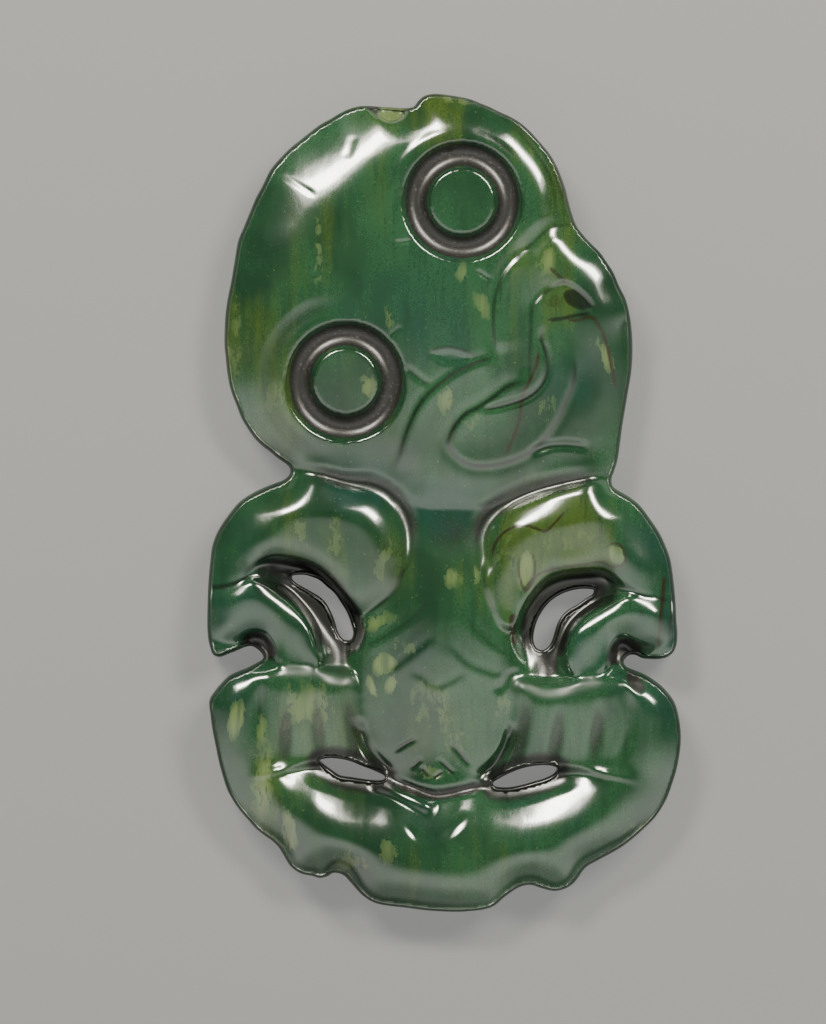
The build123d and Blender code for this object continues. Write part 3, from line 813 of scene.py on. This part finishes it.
def carve_hollows(relief):
    """The grooves round the gaps, under the wrists and behind the shoulders, the dull hand tops, and
    painted shade where light hardly reaches.
    """
    for spots, wide in ELBOWS:
        relief.groove(spots, wide, 0.4, satin=0.8, fade=0.2)
    relief.groove([(338, 630), (341, 668)], 15, 0.5, satin=1.0, fade=0.5)
    relief.groove([(546, 640), (548, 684)], 17, 0.6, satin=1.0, fade=0.5)
    # The notches under the wrists
    relief.groove([(240, 646), (256, 640), (268, 650), (272, 662)], 12, 0.6, satin=1.0)
    relief.groove([(612, 668), (618, 650), (628, 646), (644, 654)], 12, 0.6, satin=1.0)
    # Behind the shoulders
    relief.groove([(292, 470), (315, 473), (345, 481), (372, 484), (392, 494), (406, 512),
                   (412, 536), (410, 560)], 12, 0.5, satin=0.65, crease=0.9, fade=0.3)
    relief.groove([(616, 480), (590, 479), (560, 483), (530, 491), (503, 503), (485, 518),
                   (477, 540), (478, 566)], 15, 0.5, satin=0.65, crease=0.9, fade=0.3)
    # The tops of the hands, the elbow and the wrist, which no polisher reaches: rough, and darkened
    # with painted shade
    for spots in [[(280, 668), (300, 670), (318, 672), (336, 678), (350, 680), (360, 688)],
                  [(506, 694), (520, 683), (532, 687), (548, 693), (568, 690), (590, 683),
                   (606, 678)], [(236, 560), (244, 566), (250, 574)],
                  [(326, 655), (330, 664), (340, 670), (352, 672)]]:
        relief.line("dull", spots, 7, 0.9)
    relief.patch("satin", 458, 532, 40, 34, 0, 0.4)
    for spots, wide, shade_strength in SHADES:
        relief.line("crease", spots, wide, shade_strength)


print("ribs:", len(RIBS), "grooves at the elbows:", len(ELBOWS), "dark lines:", len(SHADES))

# %% [markdown]
# ## What the stone itself brings
#
# Pale flecks and brown veins were in the stone before the carver came, so they run on over the
# forms. A noise alone would scatter them anywhere, and these have places that the eye knows.
# So each fleck is an oval and each vein a line on the chart, and the finish frays their edges.

# %% Flecks and veins
# Each fleck: its column and row, its half width and half height, its lean and how pale it is
FLECKS = [
    (236, 719, 10, 25, 14, 1.5), (384, 663, 15, 15, 0, 1.5), (391, 684, 9, 12, 20, 1.3),
    (378, 622, 24, 10, -25, 1.0), (616, 554, 10, 13, -20, 1.6), (525, 569, 9, 23, 8, 1.7),
    (560, 538, 50, 20, -4, 0.22), (506, 552, 14, 30, 6, 0.4), (605, 358, 8, 26, -22, 1.3),
    (481, 308, 10, 22, -12, 0.9), (462, 275, 9, 13, 0, 0.9), (446, 400, 11, 17, 10, 1.0),
    (546, 262, 14, 18, 20, 1.1), (263, 782, 13, 46, 6, 1.2), (290, 830, 9, 28, -8, 1.5),
    (306, 708, 34, 34, 0, 0.9), (262, 728, 8, 24, 0, 1.0), (371, 685, 5, 15, -20, 1.5),
    (236, 340, 9, 48, 0, 0.7), (318, 250, 6, 56, 0, 0.7), (505, 700, 12, 22, 10, 0.7),
    (445, 705, 14, 34, 0, 0.6), (452, 577, 13, 13, 0, 1.0), (474, 575, 9, 12, 0, 0.9),
    (368, 388, 12, 17, 0, 0.9), (455, 101, 28, 7, 12, 0.8), (302, 522, 9, 30, 8, 0.5),
    (336, 533, 9, 32, 8, 0.5), (383, 558, 10, 32, 14, 0.55), (275, 398, 14, 20, 0, 0.6),
    (390, 320, 9, 26, 0, 0.6), (528, 160, 7, 18, 0, 0.4), (432, 770, 20, 12, 0, 0.6),
    (390, 848, 16, 20, 0, 0.7), (350, 860, 22, 14, 0, 0.7), (470, 420, 16, 18, 0, 0.5),
    (425, 700, 26, 30, 0, 0.45), (458, 735, 22, 20, 0, 0.4), (404, 645, 16, 14, 0, 0.45),
    (330, 350, 10, 14, 0, 0.4), (545, 410, 14, 20, 15, 0.45), (640, 830, 20, 14, 0, 0.4)]
# Each vein: its spots, its width and how brown it is
VEINS = [
    ([(538, 345), (537, 362), (530, 380), (522, 398), (519, 420), (512, 440), (502, 462)], 2.0, 1.2),
    ([(560, 318), (575, 322), (590, 318), (600, 330), (606, 346), (612, 372), (618, 398)], 2.2, 1.1),
    ([(492, 562), (494, 546), (503, 533), (520, 525), (532, 527), (545, 531), (552, 525),
      (568, 507)], 1.6, 1.2),
    ([(516, 600), (526, 586), (540, 573), (560, 567), (582, 564), (602, 562), (612, 567),
      (624, 562), (623, 550), (615, 543), (606, 546), (604, 556)], 1.6, 1.1),
    ([(597, 508), (601, 530), (602, 548)], 1.4, 0.8),
    ([(518, 552), (519, 575), (525, 590), (533, 580), (533, 556), (526, 549)], 1.6, 1.1),
    ([(664, 572), (662, 600), (659, 625), (658, 650)], 2.4, 1.2),
    ([(671, 596), (670, 620), (667, 645)], 1.6, 0.9),
    ([(591, 440), (591, 458), (593, 475)], 1.5, 0.8),
    ([(457, 470), (456, 484), (454, 498)], 1.5, 0.7),
    ([(279, 790), (281, 812), (286, 832), (290, 852)], 1.5, 1.0),
    ([(513, 612), (512, 628), (515, 646)], 3.2, 1.6),
    ([(257, 784), (262, 795), (261, 807)], 1.4, 1.0),
    ([(266, 783), (268, 795), (272, 804)], 1.3, 0.9),
    ([(258, 735), (263, 748), (258, 766), (262, 784)], 1.4, 0.7),
    ([(245, 818), (250, 826), (257, 829)], 2.0, 1.0),
    ([(548, 268), (556, 276), (566, 284)], 2.5, 0.9)]

# Where the green turns yellow, above 0, or blue, below 0
TINTS = [
    (300, 150, 0.1), (250, 250, 0.0), (240, 335, 0.9), (285, 405, 0.8), (235, 420, 0.3),
    (318, 230, 0.6), (318, 280, 0.6), (370, 210, 0.4), (400, 300, -0.6), (440, 335, -0.6),
    (440, 250, -0.4), (350, 300, -0.3), (556, 170, 1.1), (545, 145, 0.9), (500, 110, 0.3),
    (500, 200, 0.1), (462, 203, 0.0), (520, 310, 0.1), (545, 262, 0.9), (600, 280, -0.2),
    (556, 303, 1.2), (612, 340, -0.4), (575, 380, -0.8), (600, 440, -0.2), (500, 440, 0.1),
    (430, 430, 0.5), (345, 382, 0.2), (440, 104, 0.9), (450, 515, -1.0), (450, 575, 0.5),
    (425, 610, 0.2), (440, 645, -0.5), (400, 690, 0.2), (440, 715, 0.5), (480, 680, 0.0),
    (225, 540, -0.5), (300, 530, 0.6), (340, 530, 0.6), (382, 555, 0.7), (350, 497, -0.9),
    (230, 612, -0.6), (290, 635, -0.6), (560, 538, 1.5), (590, 545, 1.4), (525, 548, 1.3),
    (510, 570, 1.0), (640, 540, -0.8), (650, 590, -0.5), (600, 640, -0.5), (655, 630, -0.7),
    (218, 700, -0.4), (238, 780, 0.2), (268, 780, 0.8), (310, 720, 0.7), (330, 835, 0.3),
    (400, 850, 0.4), (430, 828, -0.4), (480, 852, 0.5), (560, 850, -0.3), (520, 800, -0.7),
    (645, 700, -0.8), (660, 740, -0.4), (640, 800, -0.5), (600, 735, 0.2)]


def stain(relief):
    """Lays the tint, the flecks and the veins over the carved points."""
    relief.marks[:, MARKS.index("tint")] = spread(relief.points, TINTS)
    for fleck in FLECKS:
        relief.patch("pale", *fleck)
    for spots, wide, strength in VEINS:
        relief.line("vein", spots, wide, strength)


print("flecks:", len(FLECKS), "veins:", len(VEINS))

# %% [markdown]
# ## All of it over one point
#
# Every height on the front comes from one function, so the net, the rim's rings and anything
# added later agree wherever they meet. It cuts the forms, lays the stains, and then rounds what
# is left down to the edges.

# %% The carved surface, rounded down to its edges
# Widths in squares: the quarter circles that break the slab's edge and the gaps' edges, how the
# dome comes in, and how far the dull rim with its painted shade, the gaps' satin and the painted
# shade in the gaps reach
EDGE_BREAK, GAP_BREAK, DOME_FADE, DULL_FADE, SATIN_FADE, GAP_SHADE_FADE = 1.6, 2, 6, 3.2, 12, 14


def carved(points):
    """The height of the slab's front over each point, and the marks there.

    The carved surface is lowered to the slab's middle at its rim: a small quarter circle at the
    edge takes a share of the height, and the broad dome takes the rest. The polish is lost
    along the rim, which painted shade also darkens, and in the walls of the gaps, which get
    painted shade as well.
    """
    relief = Relief(points)
    for work in (carve_hollows, carve_face, carve_mouth, carve_body, stain):
        work(relief)
    depth = depth_inside(points, outline)
    at_edge = spread(points, EDGE_SHARES)
    share = (at_edge * rounded(depth / spread(points, EDGES))
             + (1 - at_edge) * sampled(dome, points) * eased(0.4 + depth / DOME_FADE))
    share = share * rounded(depth / EDGE_BREAK)
    # The rim loses its polish, and painted shade darkens it
    relief.mark("dull", slice(None), eased(2.0 - depth / DULL_FADE))
    for gap in gaps:
        depth = -depth_inside(points, gap)
        share = share * rounded(depth / GAP_BREAK)
        # The gaps' walls go satin, and dark with painted shade
        relief.mark("satin", slice(None), 0.8 * eased(1.5 - depth / SATIN_FADE))
        relief.mark("crease", slice(None), eased(1.4 - depth / GAP_SHADE_FADE))
    return MIDDLE + (relief.height - MIDDLE) * share, relief.marks


# %% [markdown]
# ## The mesh
#
# The front is a fine net of squares wherever the slab is wider than its rim, and each net point
# is lifted to the carved height. A Displace modifier on a grid could lift it as well, but would
# leave a ragged border. So the rim itself is rings carried round the edge from the front to the
# back, smooth however the net's border runs, and a thin seam of triangles joins the two.

# %% Rings round the rim
RIM_INSET, BACK_INSET = 3.4, 6.0
FRONT_RINGS, BACK_RINGS = 6, 4
BACK_MARKS = 0.8


def outward(loop):
    """The unit normals of a closed loop, pointing out of the stone."""
    along = np.roll(loop, -1, axis=0) - np.roll(loop, 1, axis=0)
    along /= np.linalg.norm(along, axis=1)[:, None]
    return np.stack([along[:, 1], -along[:, 0]], axis=1)


def turned(loop, clockwise):
    """The loop run the way that puts the stone on its other side."""
    area = (loop[:, 0] * np.roll(loop[:, 1], -1) - loop[:, 1] * np.roll(loop[:, 0], -1)).sum()
    return loop if (area > 0) == clockwise else loop[::-1]


def rim_rings(loop):
    """The rings of one loop: spots, heights and marks, from the front's inset round to the back.

    In front, a ring lies RIM_INSET * share^2 inside the loop, at the carved height there, as the
    share goes from 1 to 0. At the back the inset is BACK_INSET * (1 - cos a) and the height
    MIDDLE * (1 - sin a), as the angle a goes from 0 to a right angle.
    """
    normals = outward(loop)
    spots, heights, marks = [], [], []
    for share in np.linspace(1, 0, FRONT_RINGS + 1):
        spots.append(loop - normals * RIM_INSET * share ** 2)
        height, mark = carved(spots[-1])
        heights.append(height)
        marks.append(mark)
    for angle in np.linspace(0, pi / 2, BACK_RINGS + 1)[1:]:
        spots.append(loop - normals * BACK_INSET * (1 - cos(angle)))
        heights.append(np.full(len(loop), MIDDLE * (1 - sin(angle))))
        marks.append(marks[-1] * BACK_MARKS)
    return np.array(spots), np.array(heights), np.array(marks)


# %% A net over the slab, and the edges where it stops
def net(low_corner, high_corner, step):
    """A regular grid of spots over a box, and the four corners of each of its cells."""
    columns = np.arange(low_corner[0], high_corner[0] + step, step)
    rows = np.arange(low_corner[1], high_corner[1] + step, step)
    spots = np.stack(np.meshgrid(columns, rows), axis=-1).reshape(-1, 2)
    number = np.arange(len(spots)).reshape(len(rows), len(columns))
    cells = np.stack([number[1:, :-1], number[1:, 1:], number[:-1, 1:], number[:-1, :-1]], axis=-1)
    return spots, cells.reshape(-1, 4)


def depth_in_stone(points, rings):
    """How deep a point lies inside the first ring and outside the others, whichever is less."""
    return np.min([depth_inside(points, rings[0]),
                   *(-depth_inside(points, ring) for ring in rings[1:])], axis=0)


def border(faces):
    """The edges that only one face uses, in that face's direction."""
    edges = np.concatenate([np.stack([faces[:, k], np.roll(faces, -1, axis=1)[:, k]], axis=1)
                            for k in range(faces.shape[1])])
    key = np.sort(edges, axis=1)
    _, first, uses = np.unique(key, axis=0, return_index=True, return_counts=True)
    return edges[first[uses == 1]]


# %% The seam between a net and the rings
def seam(spots, edges):
    """Triangles between loops of edges, by a Delaunay triangulation that keeps those edges.

    The triangulation numbers its points anew, so each is led back to the one that it came from.
    """
    used, edges = np.unique(edges, return_inverse=True)
    edges = edges.reshape(-1, 2)
    found = delaunay_2d_cdt([Vector(spot) for spot in spots[used]], edges.tolist(), [], 0, 1e-6)
    assert len(found[0]) == len(used), "the seam's loops cross"
    source = np.array([origin[0] for origin in found[3]])
    return used[source[np.array(found[2])]]


def cell_of(places, step):
    """The number of the net's cell that each place lies in: its column + 100000 * its row."""
    return np.floor((places - outline.min(axis=0)) / step).astype(int) @ (1, 100000)


def sheet(rings, step, margin):
    """A net inside the innermost rings, seamed to them: its spots, quads and triangles.

    The net keeps the cells that lie deeper than a margin. The seam is the triangulation of all
    the points less what the net covers and what lies off the stone.
    """
    spots, cells = net(outline.min(axis=0), outline.max(axis=0), step)
    kept = cells[(depth_in_stone(spots, [outline, *gaps])[cells] > margin).all(axis=1)]
    used, kept = np.unique(kept, return_inverse=True)
    spots, kept = spots[used], kept.reshape(-1, 4)
    starts = np.cumsum([0] + [len(ring) for ring in rings])
    loop_edges = [np.stack([np.arange(len(ring)), np.roll(np.arange(len(ring)), -1)], axis=1) + start
                  for ring, start in zip(rings, starts)]
    everything = np.concatenate([*rings, spots])
    triangles = seam(everything, np.concatenate([*loop_edges, border(kept) + starts[-1]]))
    middles = everything[triangles].mean(axis=1)
    covered = np.isin(cell_of(middles, step), cell_of(spots[kept].mean(axis=1), step))
    return spots, kept, triangles[~covered & (depth_in_stone(middles, rings) > 0)]


# %% The rims of the outline and the gaps
class Shell:
    """The points of the pendant with their marks, and its faces, gathered part by part."""

    def __init__(self):
        self.spots, self.heights, self.marks, self.quads, self.triangles = [], [], [], [], []
        self.count = 0

    def add(self, spots, heights, marks):
        """Takes in points, and gives back their numbers, laid out as the heights are."""
        self.spots.append(spots.reshape(-1, 2))
        self.heights.append(heights.ravel())
        self.marks.append(marks.reshape(-1, len(MARKS)))
        self.count += heights.size
        return np.arange(self.count - heights.size, self.count).reshape(heights.shape)


shell = Shell()
front_loops, back_loops = [], []
for loop in [turned(outline, True)] + [turned(gap, False) for gap in gaps]:
    rings = shell.add(*rim_rings(loop))
    after = np.roll(rings, -1, axis=1)
    shell.quads.append(np.stack([rings[:-1], rings[1:], after[1:], after[:-1]],
                                axis=-1).reshape(-1, 4))
    front_loops.append(rings[0])
    back_loops.append(rings[-1])
rim_spots = np.concatenate(shell.spots)
print("points on the rims:", len(rim_spots))

# %% The carved front and the flat back
GRID, BACK_GRID = 2.0, 12.0
FRONT_SEAM, BACK_SEAM = 1.2, 3.0


def flat_back(points):
    """The back's heights and marks: none."""
    return np.zeros(len(points)), np.zeros((len(points), len(MARKS)))


for ends, step, margin, surface in [(front_loops, GRID, RIM_INSET + FRONT_SEAM, carved),
                                    (back_loops, BACK_GRID, BACK_INSET + BACK_SEAM, flat_back)]:
    inner, cells, joins = sheet([rim_spots[end] for end in ends], step, margin)
    numbers = shell.add(inner, *surface(inner))
    cells, joins = numbers[cells], np.concatenate([*ends, numbers])[joins]
    if surface is carved:
        joins = joins[:, ::-1]
    else:
        cells = cells[:, ::-1]
    shell.quads.append(cells)
    shell.triangles.append(joins)

points = on_slab(np.concatenate(shell.spots), np.concatenate(shell.heights))
marks, quads, triangles = (np.concatenate(part) for part in
                           (shell.marks, shell.quads, shell.triangles))
print("points", len(points), "quads", len(quads), "triangles", len(triangles))

# %% The mesh, with its marks as attributes
stone = bpy.data.meshes.new("carved_pendant")
stone.from_pydata(points.tolist(), [], quads.tolist() + triangles.tolist())
for kind, strength in zip(MARKS, marks.T):
    stone.attributes.new(kind, "FLOAT", "POINT").data.foreach_set("value", strength.copy())
stone.polygons.foreach_set("use_smooth", np.ones(len(stone.polygons), bool))
stone.validate(verbose=True)
pendant = bpy.data.objects.new("carved_pendant", stone)
bpy.context.scene.collection.objects.link(pendant)
# A triangle counts here as a quad with its last corner twice, and that corner's edge is dropped
open_edges = border(np.concatenate([quads, np.pad(triangles, ((0, 0), (0, 1)), mode="edge")]))
open_edges = open_edges[open_edges[:, 0] != open_edges[:, 1]]
print("open edges", len(open_edges), "triangles in all", 2 * len(quads) + len(triangles))

# %% [markdown]
# ## The stone
#
# Greenstone is never one green. Its fibres run down the slab as streaks from yellow green to blue
# green, pale flecks and brown veins follow them, and light goes a little way in before it comes
# back. The polish is high on every swell, and satin grey brown where only sand could reach. A
# photograph of stone could be wrapped over it, but would carry its own light and shade. Noises
# in the stone's own space cut through it as the real streaks do, also round the rim and the back.

# %% Shader arithmetic that reads as Python
class Value:
    """An output socket of a material. Arithmetic on it adds Math nodes."""

    def __init__(self, finish, socket):
        self.finish, self.socket = finish, socket

    def maths(self, operation, *terms):
        return self.finish.node("Math", {"operation": operation}, dict(enumerate(terms)))

    def __add__(self, other): return self.maths("ADD", self, other)
    def __radd__(self, other): return self.maths("ADD", other, self)
    def __sub__(self, other): return self.maths("SUBTRACT", self, other)
    def __rsub__(self, other): return self.maths("SUBTRACT", other, self)
    def __mul__(self, other): return self.maths("MULTIPLY", self, other)
    def __rmul__(self, other): return self.maths("MULTIPLY", other, self)

    def between(self, start, end):
        """0 below start, 1 above end, and eased between them."""
        return self.finish.node("MapRange", {"interpolation_type": "SMOOTHSTEP"},
                                {"Value": self, "From Min": start, "From Max": end})


class Finish:
    """The nodes of a material or a world, with one method that adds any node."""

    def __init__(self, holder, shader):
        holder.use_nodes = True
        self.holder, self.tree = holder, holder.node_tree
        self.shader = self.tree.nodes[shader]

    def node(self, kind, settings=None, inputs=None, output=0):
        """Adds a shader node: its settings first, then its sockets' values or links."""
        node = self.tree.nodes.new("ShaderNode" + kind)
        for name, value in (settings or {}).items():
            setattr(node, name, value)
        for name, value in (inputs or {}).items():
            self.feed(node.inputs[name], value)
        return Value(self, node.outputs[output])

    def feed(self, socket, value):
        """Links a value to a socket, or sets the socket to a plain number or colour."""
        if isinstance(value, Value):
            self.tree.links.new(value.socket, socket)
        else:
            socket.default_value = value

    def fixed(self, **values):
        """Sets sockets of the shader to plain values: Coat_IOR stands for Coat IOR."""
        for name, value in values.items():
            self.shader.inputs[name.replace("_", " ")].default_value = value

    def mixed(self, share, first, second):
        """One colour passing into another as the share goes from 0 to 1."""
        return self.node("Mix", {"data_type": "RGBA"}, {0: share, 6: first, 7: second}, 2)

    def noise(self, place, stretch, detail=4.0, rough=0.55, twist=0.0, shift=0.0):
        """Cloudy noise, stretched by so many cells to the metre along each axis."""
        where = self.node("Mapping", {}, {"Vector": place, "Scale": stretch,
                                          "Location": (shift, shift, shift)})
        return self.node("TexNoise", {}, {"Vector": where, "Scale": 1.0, "Detail": detail,
                                          "Roughness": rough, "Distortion": twist})


# %% The colours and the noises of the stone
DEEP_GREEN = (0.006, 0.025, 0.011, 1)
LEAF_GREEN = (0.018, 0.067, 0.027, 1)
BLUE_GREEN = (0.007, 0.036, 0.027, 1)
YELLOW_GREEN = (0.048, 0.080, 0.010, 1)
# Pale flecks and specks, and the painted glow at the cord notch
PALE_FLECK_AND_GLOW = (0.125, 0.17, 0.062, 1)
SATIN_BROWN = (0.010, 0.0095, 0.0085, 1)
SATIN_SPECK = (0.10, 0.095, 0.085, 1)
# Painted shade: the dark of cuts, hollows, the gaps' walls and the dull rim
PAINTED_SHADE_COLOUR = (0.003, 0.004, 0.003, 1)
VEIN_BROWN = (0.017, 0.012, 0.005, 1)

# Each noise: its cells to the metre along each axis, its detail, roughness, twist and shift
NOISES = {
    "clouds": ((55, 38, 60), 3.0),
    "streaks": ((290, 26, 90), 5.0, 0.6, 0.25),
    "fibres": ((900, 90, 400), 4.0, 0.6, 0.0, 3.0),
    "blues": ((120, 22, 60), 3.0, 0.55, 0.0, 7.0),
    "ragged": ((1500, 750, 1200), 6.0, 0.7, 0.0, 5.0),
    "broken": ((520, 300, 420), 5.0, 0.6, 0.0, 13.0),
    "grain": ((2600, 2600, 2600), 2.0),
    "specks": ((2300, 1900, 2000), 1.0, 0.55, 0.0, 11.0),
    "ripple": ((700, 450, 500), 3.0),
    "swell": ((190, 120, 150), 2.0, 0.55, 0.0, 2.0),
    "scratches": ((4200, 500, 2200), 2.0, 0.55, 0.0, 17.0)}
print("noises:", ", ".join(NOISES))


# %% How the colours lie over one another
def streaked(finish, mark, noise):
    """Clouds of two greens, with blue and yellow streaks where the tint calls for them."""
    colour = finish.mixed(noise.clouds.between(0.32, 0.68), DEEP_GREEN, LEAF_GREEN)
    bluish = (noise.blues - 0.5) * 2.2 - mark.tint
    yellowish = (noise.streaks - 0.5) * 2.4 + mark.tint
    colour = finish.mixed(bluish.between(0.1, 1.1) * 0.8, colour, BLUE_GREEN)
    colour = finish.mixed(yellowish.between(0.2, 1.4) * 0.75, colour, YELLOW_GREEN)
    colour = finish.mixed(noise.fibres.between(0.45, 0.7) * 0.4, colour, DEEP_GREEN)
    return finish.mixed(noise.grain.between(0.4, 0.65) * 0.3, colour, DEEP_GREEN)


def flecked(finish, mark, noise, colour):
    """Pale flecks frayed along the fibres, with the painted glow of light at the cord notch, fine
    specks everywhere, and broken brown veins.
    """
    frayed = (mark.pale + (noise.broken - 0.5) * 3.0 + (noise.ragged - 0.5) * 1.8
              + (noise.fibres - 0.5) * 0.6)
    fleck = frayed.between(0.42, 0.6) * mark.pale.between(0.0, 0.2)
    fleck = fleck * (0.4 + 0.6 * noise.fibres.between(0.3, 0.62))
    colour = finish.mixed(fleck * (0.25 + 0.55 * mark.pale.between(0.3, 1.3)), colour, PALE_FLECK_AND_GLOW)
    colour = finish.mixed(noise.specks.between(0.72, 0.8) * 0.4, colour, PALE_FLECK_AND_GLOW)
    vein = (mark.vein * (0.2 + 1.3 * noise.ragged)).between(0.25, 0.8)
    return finish.mixed(vein * 0.85, colour, VEIN_BROWN)


def ground_and_shade(finish, mark, noise, colour):
    """Mottled satin brown with pale specks where sand cut the stone, then painted shade in creases,
    hollows and the gaps' walls, and over the dull rim and hand tops.
    """
    mottle = mark.satin * (0.25 + 0.8 * noise.grain + 0.7 * noise.broken)
    colour = finish.mixed(mottle.between(0.1, 0.9), colour, SATIN_BROWN)
    colour = finish.mixed(mark.satin * noise.grain.between(0.6, 0.68) * 0.5, colour, SATIN_SPECK)
    # Painted shade along cuts, in hollows and in the gaps' walls
    shade_strength = (mark.crease * (0.5 + noise.ragged)).between(0.05, 0.9)
    colour = finish.mixed(shade_strength * 0.8, colour, PAINTED_SHADE_COLOUR)
    # Painted shade over the dull rim and hand tops
    return finish.mixed(mark.dull * 0.4, colour, PAINTED_SHADE_COLOUR)


# %% Polished greenstone
# How rough the polished stone is, and what the satin, the dull rim and the fibres add to it
POLISHED, ADD_SATIN, ADD_DULL, ADD_FIBRES = 0.13, 0.19, 0.3, 0.05
# How high, in metres, a polisher's slow swell, a finer ripple, the grain of the satin, the
# fibres and hair scratches stand in the bump
SWELL, RIPPLE, GRAIN, FIBRES, SCRATCHES = 1.2e-4, 2.4e-5, 3e-5, 1.6e-5, 6e-6


def greenstone():
    """Streaked green stone, whose polish gives way to satin where the mesh's marks say so."""
    finish = Finish(bpy.data.materials.new("greenstone"), "Principled BSDF")
    place = finish.node("TexCoord", {}, {}, "Object")
    mark = SimpleNamespace(**{
        kind: finish.node("Attribute", {"attribute_name": kind}, {}, "Fac") for kind in MARKS})
    noise = SimpleNamespace(**{
        name: finish.noise(place, *settings) for name, settings in NOISES.items()})
    colour = streaked(finish, mark, noise)
    colour = flecked(finish, mark, noise, colour)
    colour = ground_and_shade(finish, mark, noise, colour)
    height = (noise.swell * SWELL + noise.ripple * RIPPLE + noise.grain * mark.satin * GRAIN
              + noise.fibres * FIBRES + noise.scratches * SCRATCHES)
    varied = {
        "Base Color": colour,
        "Roughness": (POLISHED + ADD_SATIN * mark.satin + ADD_DULL * mark.dull
                      + ADD_FIBRES * noise.fibres),
        "Coat Weight": 1 - (mark.satin + mark.dull).between(0.0, 0.9),
        "Normal": finish.node("Bump", {}, {"Strength": 0.6, "Distance": 1.0, "Height": height})}
    for socket, value in varied.items():
        finish.feed(finish.shader.inputs[socket], value)
    finish.fixed(IOR=1.61, Coat_Roughness=0.1, Coat_IOR=1.55, Subsurface_Weight=0.15,
                 Subsurface_Radius=(0.6, 1.0, 0.5), Subsurface_Scale=0.0015)
    print("nodes in the greenstone:", len(finish.tree.nodes))
    return finish.holder


stone.materials.append(greenstone())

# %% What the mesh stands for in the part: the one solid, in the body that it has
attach(pendant, "root")
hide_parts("pendant")

# %% [markdown]
# ## The studio
#
# Stone this glossy is a mirror, so its looks come from what stands round it. Two windows of
# light beyond the crown, each a bright pane in a fainter glow, draw the highlights on every
# slope that faces up the figure. The sky is bright behind the feet too, and greys the slopes
# that face down it. Straight above the slab the studio is dark, so its level faces keep their
# deep green. A ready-made studio picture could light it, but these few lights can be moved one
# by one until each highlight sits where it should. The floor is plain and dull, and gives off a
# little light of its own, so it stays pale and even under lights that are set for the stone.

# %% The floor
bpy.ops.mesh.primitive_plane_add(size=3)
floor = bpy.context.object
floor.name = "floor"
cover = Finish(bpy.data.materials.new("pale_floor"), "Principled BSDF")
cover.fixed(Base_Color=(0.12, 0.12, 0.118, 1), Roughness=0.9, Specular_IOR_Level=0.0,
            Emission_Color=(1, 1, 0.98, 1), Emission_Strength=0.22)
floor.data.materials.append(cover.holder)

# %% The two windows
WINDOW_AWAY, WINDOW_DOWN = 0.7, radians(46)
PANE_HIGH, GLOW_MARGIN, GLOW_BEHIND = 0.11, 0.12, 1.02
PANE_WATTS, GLOW_WATTS = 5.4, 1.6
WARM_WHITE = (1, 0.97, 0.85)


def soft_box(name, place, wide, high, power):
    """A warm rectangular light that faces the middle of the slab."""
    light = bpy.data.lights.new(name, "AREA")
    light.shape = "RECTANGLE"
    light.size, light.size_y = wide, high
    light.energy, light.color = power, WARM_WHITE
    holder = bpy.data.objects.new(name, light)
    holder.location = place
    holder.rotation_euler = Vector(place).to_track_quat("Z", "Y").to_euler()
    bpy.context.scene.collection.objects.link(holder)


for name, aside, wide in [("left", radians(-31), 0.22), ("right", radians(43), 0.29)]:
    there = np.array([sin(WINDOW_DOWN) * sin(aside), sin(WINDOW_DOWN) * cos(aside),
                      cos(WINDOW_DOWN)]) * WINDOW_AWAY
    soft_box(name + "_window", there, wide, PANE_HIGH, PANE_WATTS)
    soft_box(name + "_glow", there * GLOW_BEHIND, wide + GLOW_MARGIN, 2 * PANE_HIGH, GLOW_WATTS)
    print("the", name, "window stands at", np.round(there, 2))

# %% The sky
DARK_SKY, FEET_SKY = 0.06, 1.3
studio = Finish(bpy.data.worlds.new("studio"), "Background")
bpy.context.scene.world = studio.holder
way = studio.node("TexCoord", {}, {}, "Generated")
forward, upward = [studio.node("SeparateXYZ", {}, {"Vector": way}, axis) for axis in (1, 2)]
behind = 0 - forward
band = behind.between(-0.05, 0.5) - 0.6 * behind.between(0.6, 0.95)
studio.feed(studio.shader.inputs["Strength"],
            DARK_SKY + FEET_SKY * band * upward.between(0.0, 0.2))
studio.fixed(Color=(1, 0.99, 0.93, 1))

# %% [markdown]
# ## The camera
#
# The photograph looks squarely at the carved face, so the camera looks straight down on it. It
# stands a metre up, and its angle is the one that fits the chart's full height in the frame, so
# one square of the chart is one pixel of a picture of that size.

# %% The camera over the slab
PICTURE = np.array([826, 1024])
CAMERA_HEIGHT = 1.0
middle = CORNER + PICTURE / 2 * SQUARE
camera_data = bpy.data.cameras.new("camera")
camera_data.sensor_fit = "VERTICAL"
camera_data.angle = 2 * np.arctan(PICTURE[1] * -SQUARE[1] / 2 / (CAMERA_HEIGHT - MIDDLE * MM))
camera = bpy.data.objects.new("camera", camera_data)
camera.location = (middle[0], middle[1], CAMERA_HEIGHT)
bpy.context.scene.collection.objects.link(camera)
bpy.context.scene.camera = camera
print("the camera sees", round(camera_data.angle * 180 / pi, 2), "degrees from top to bottom")
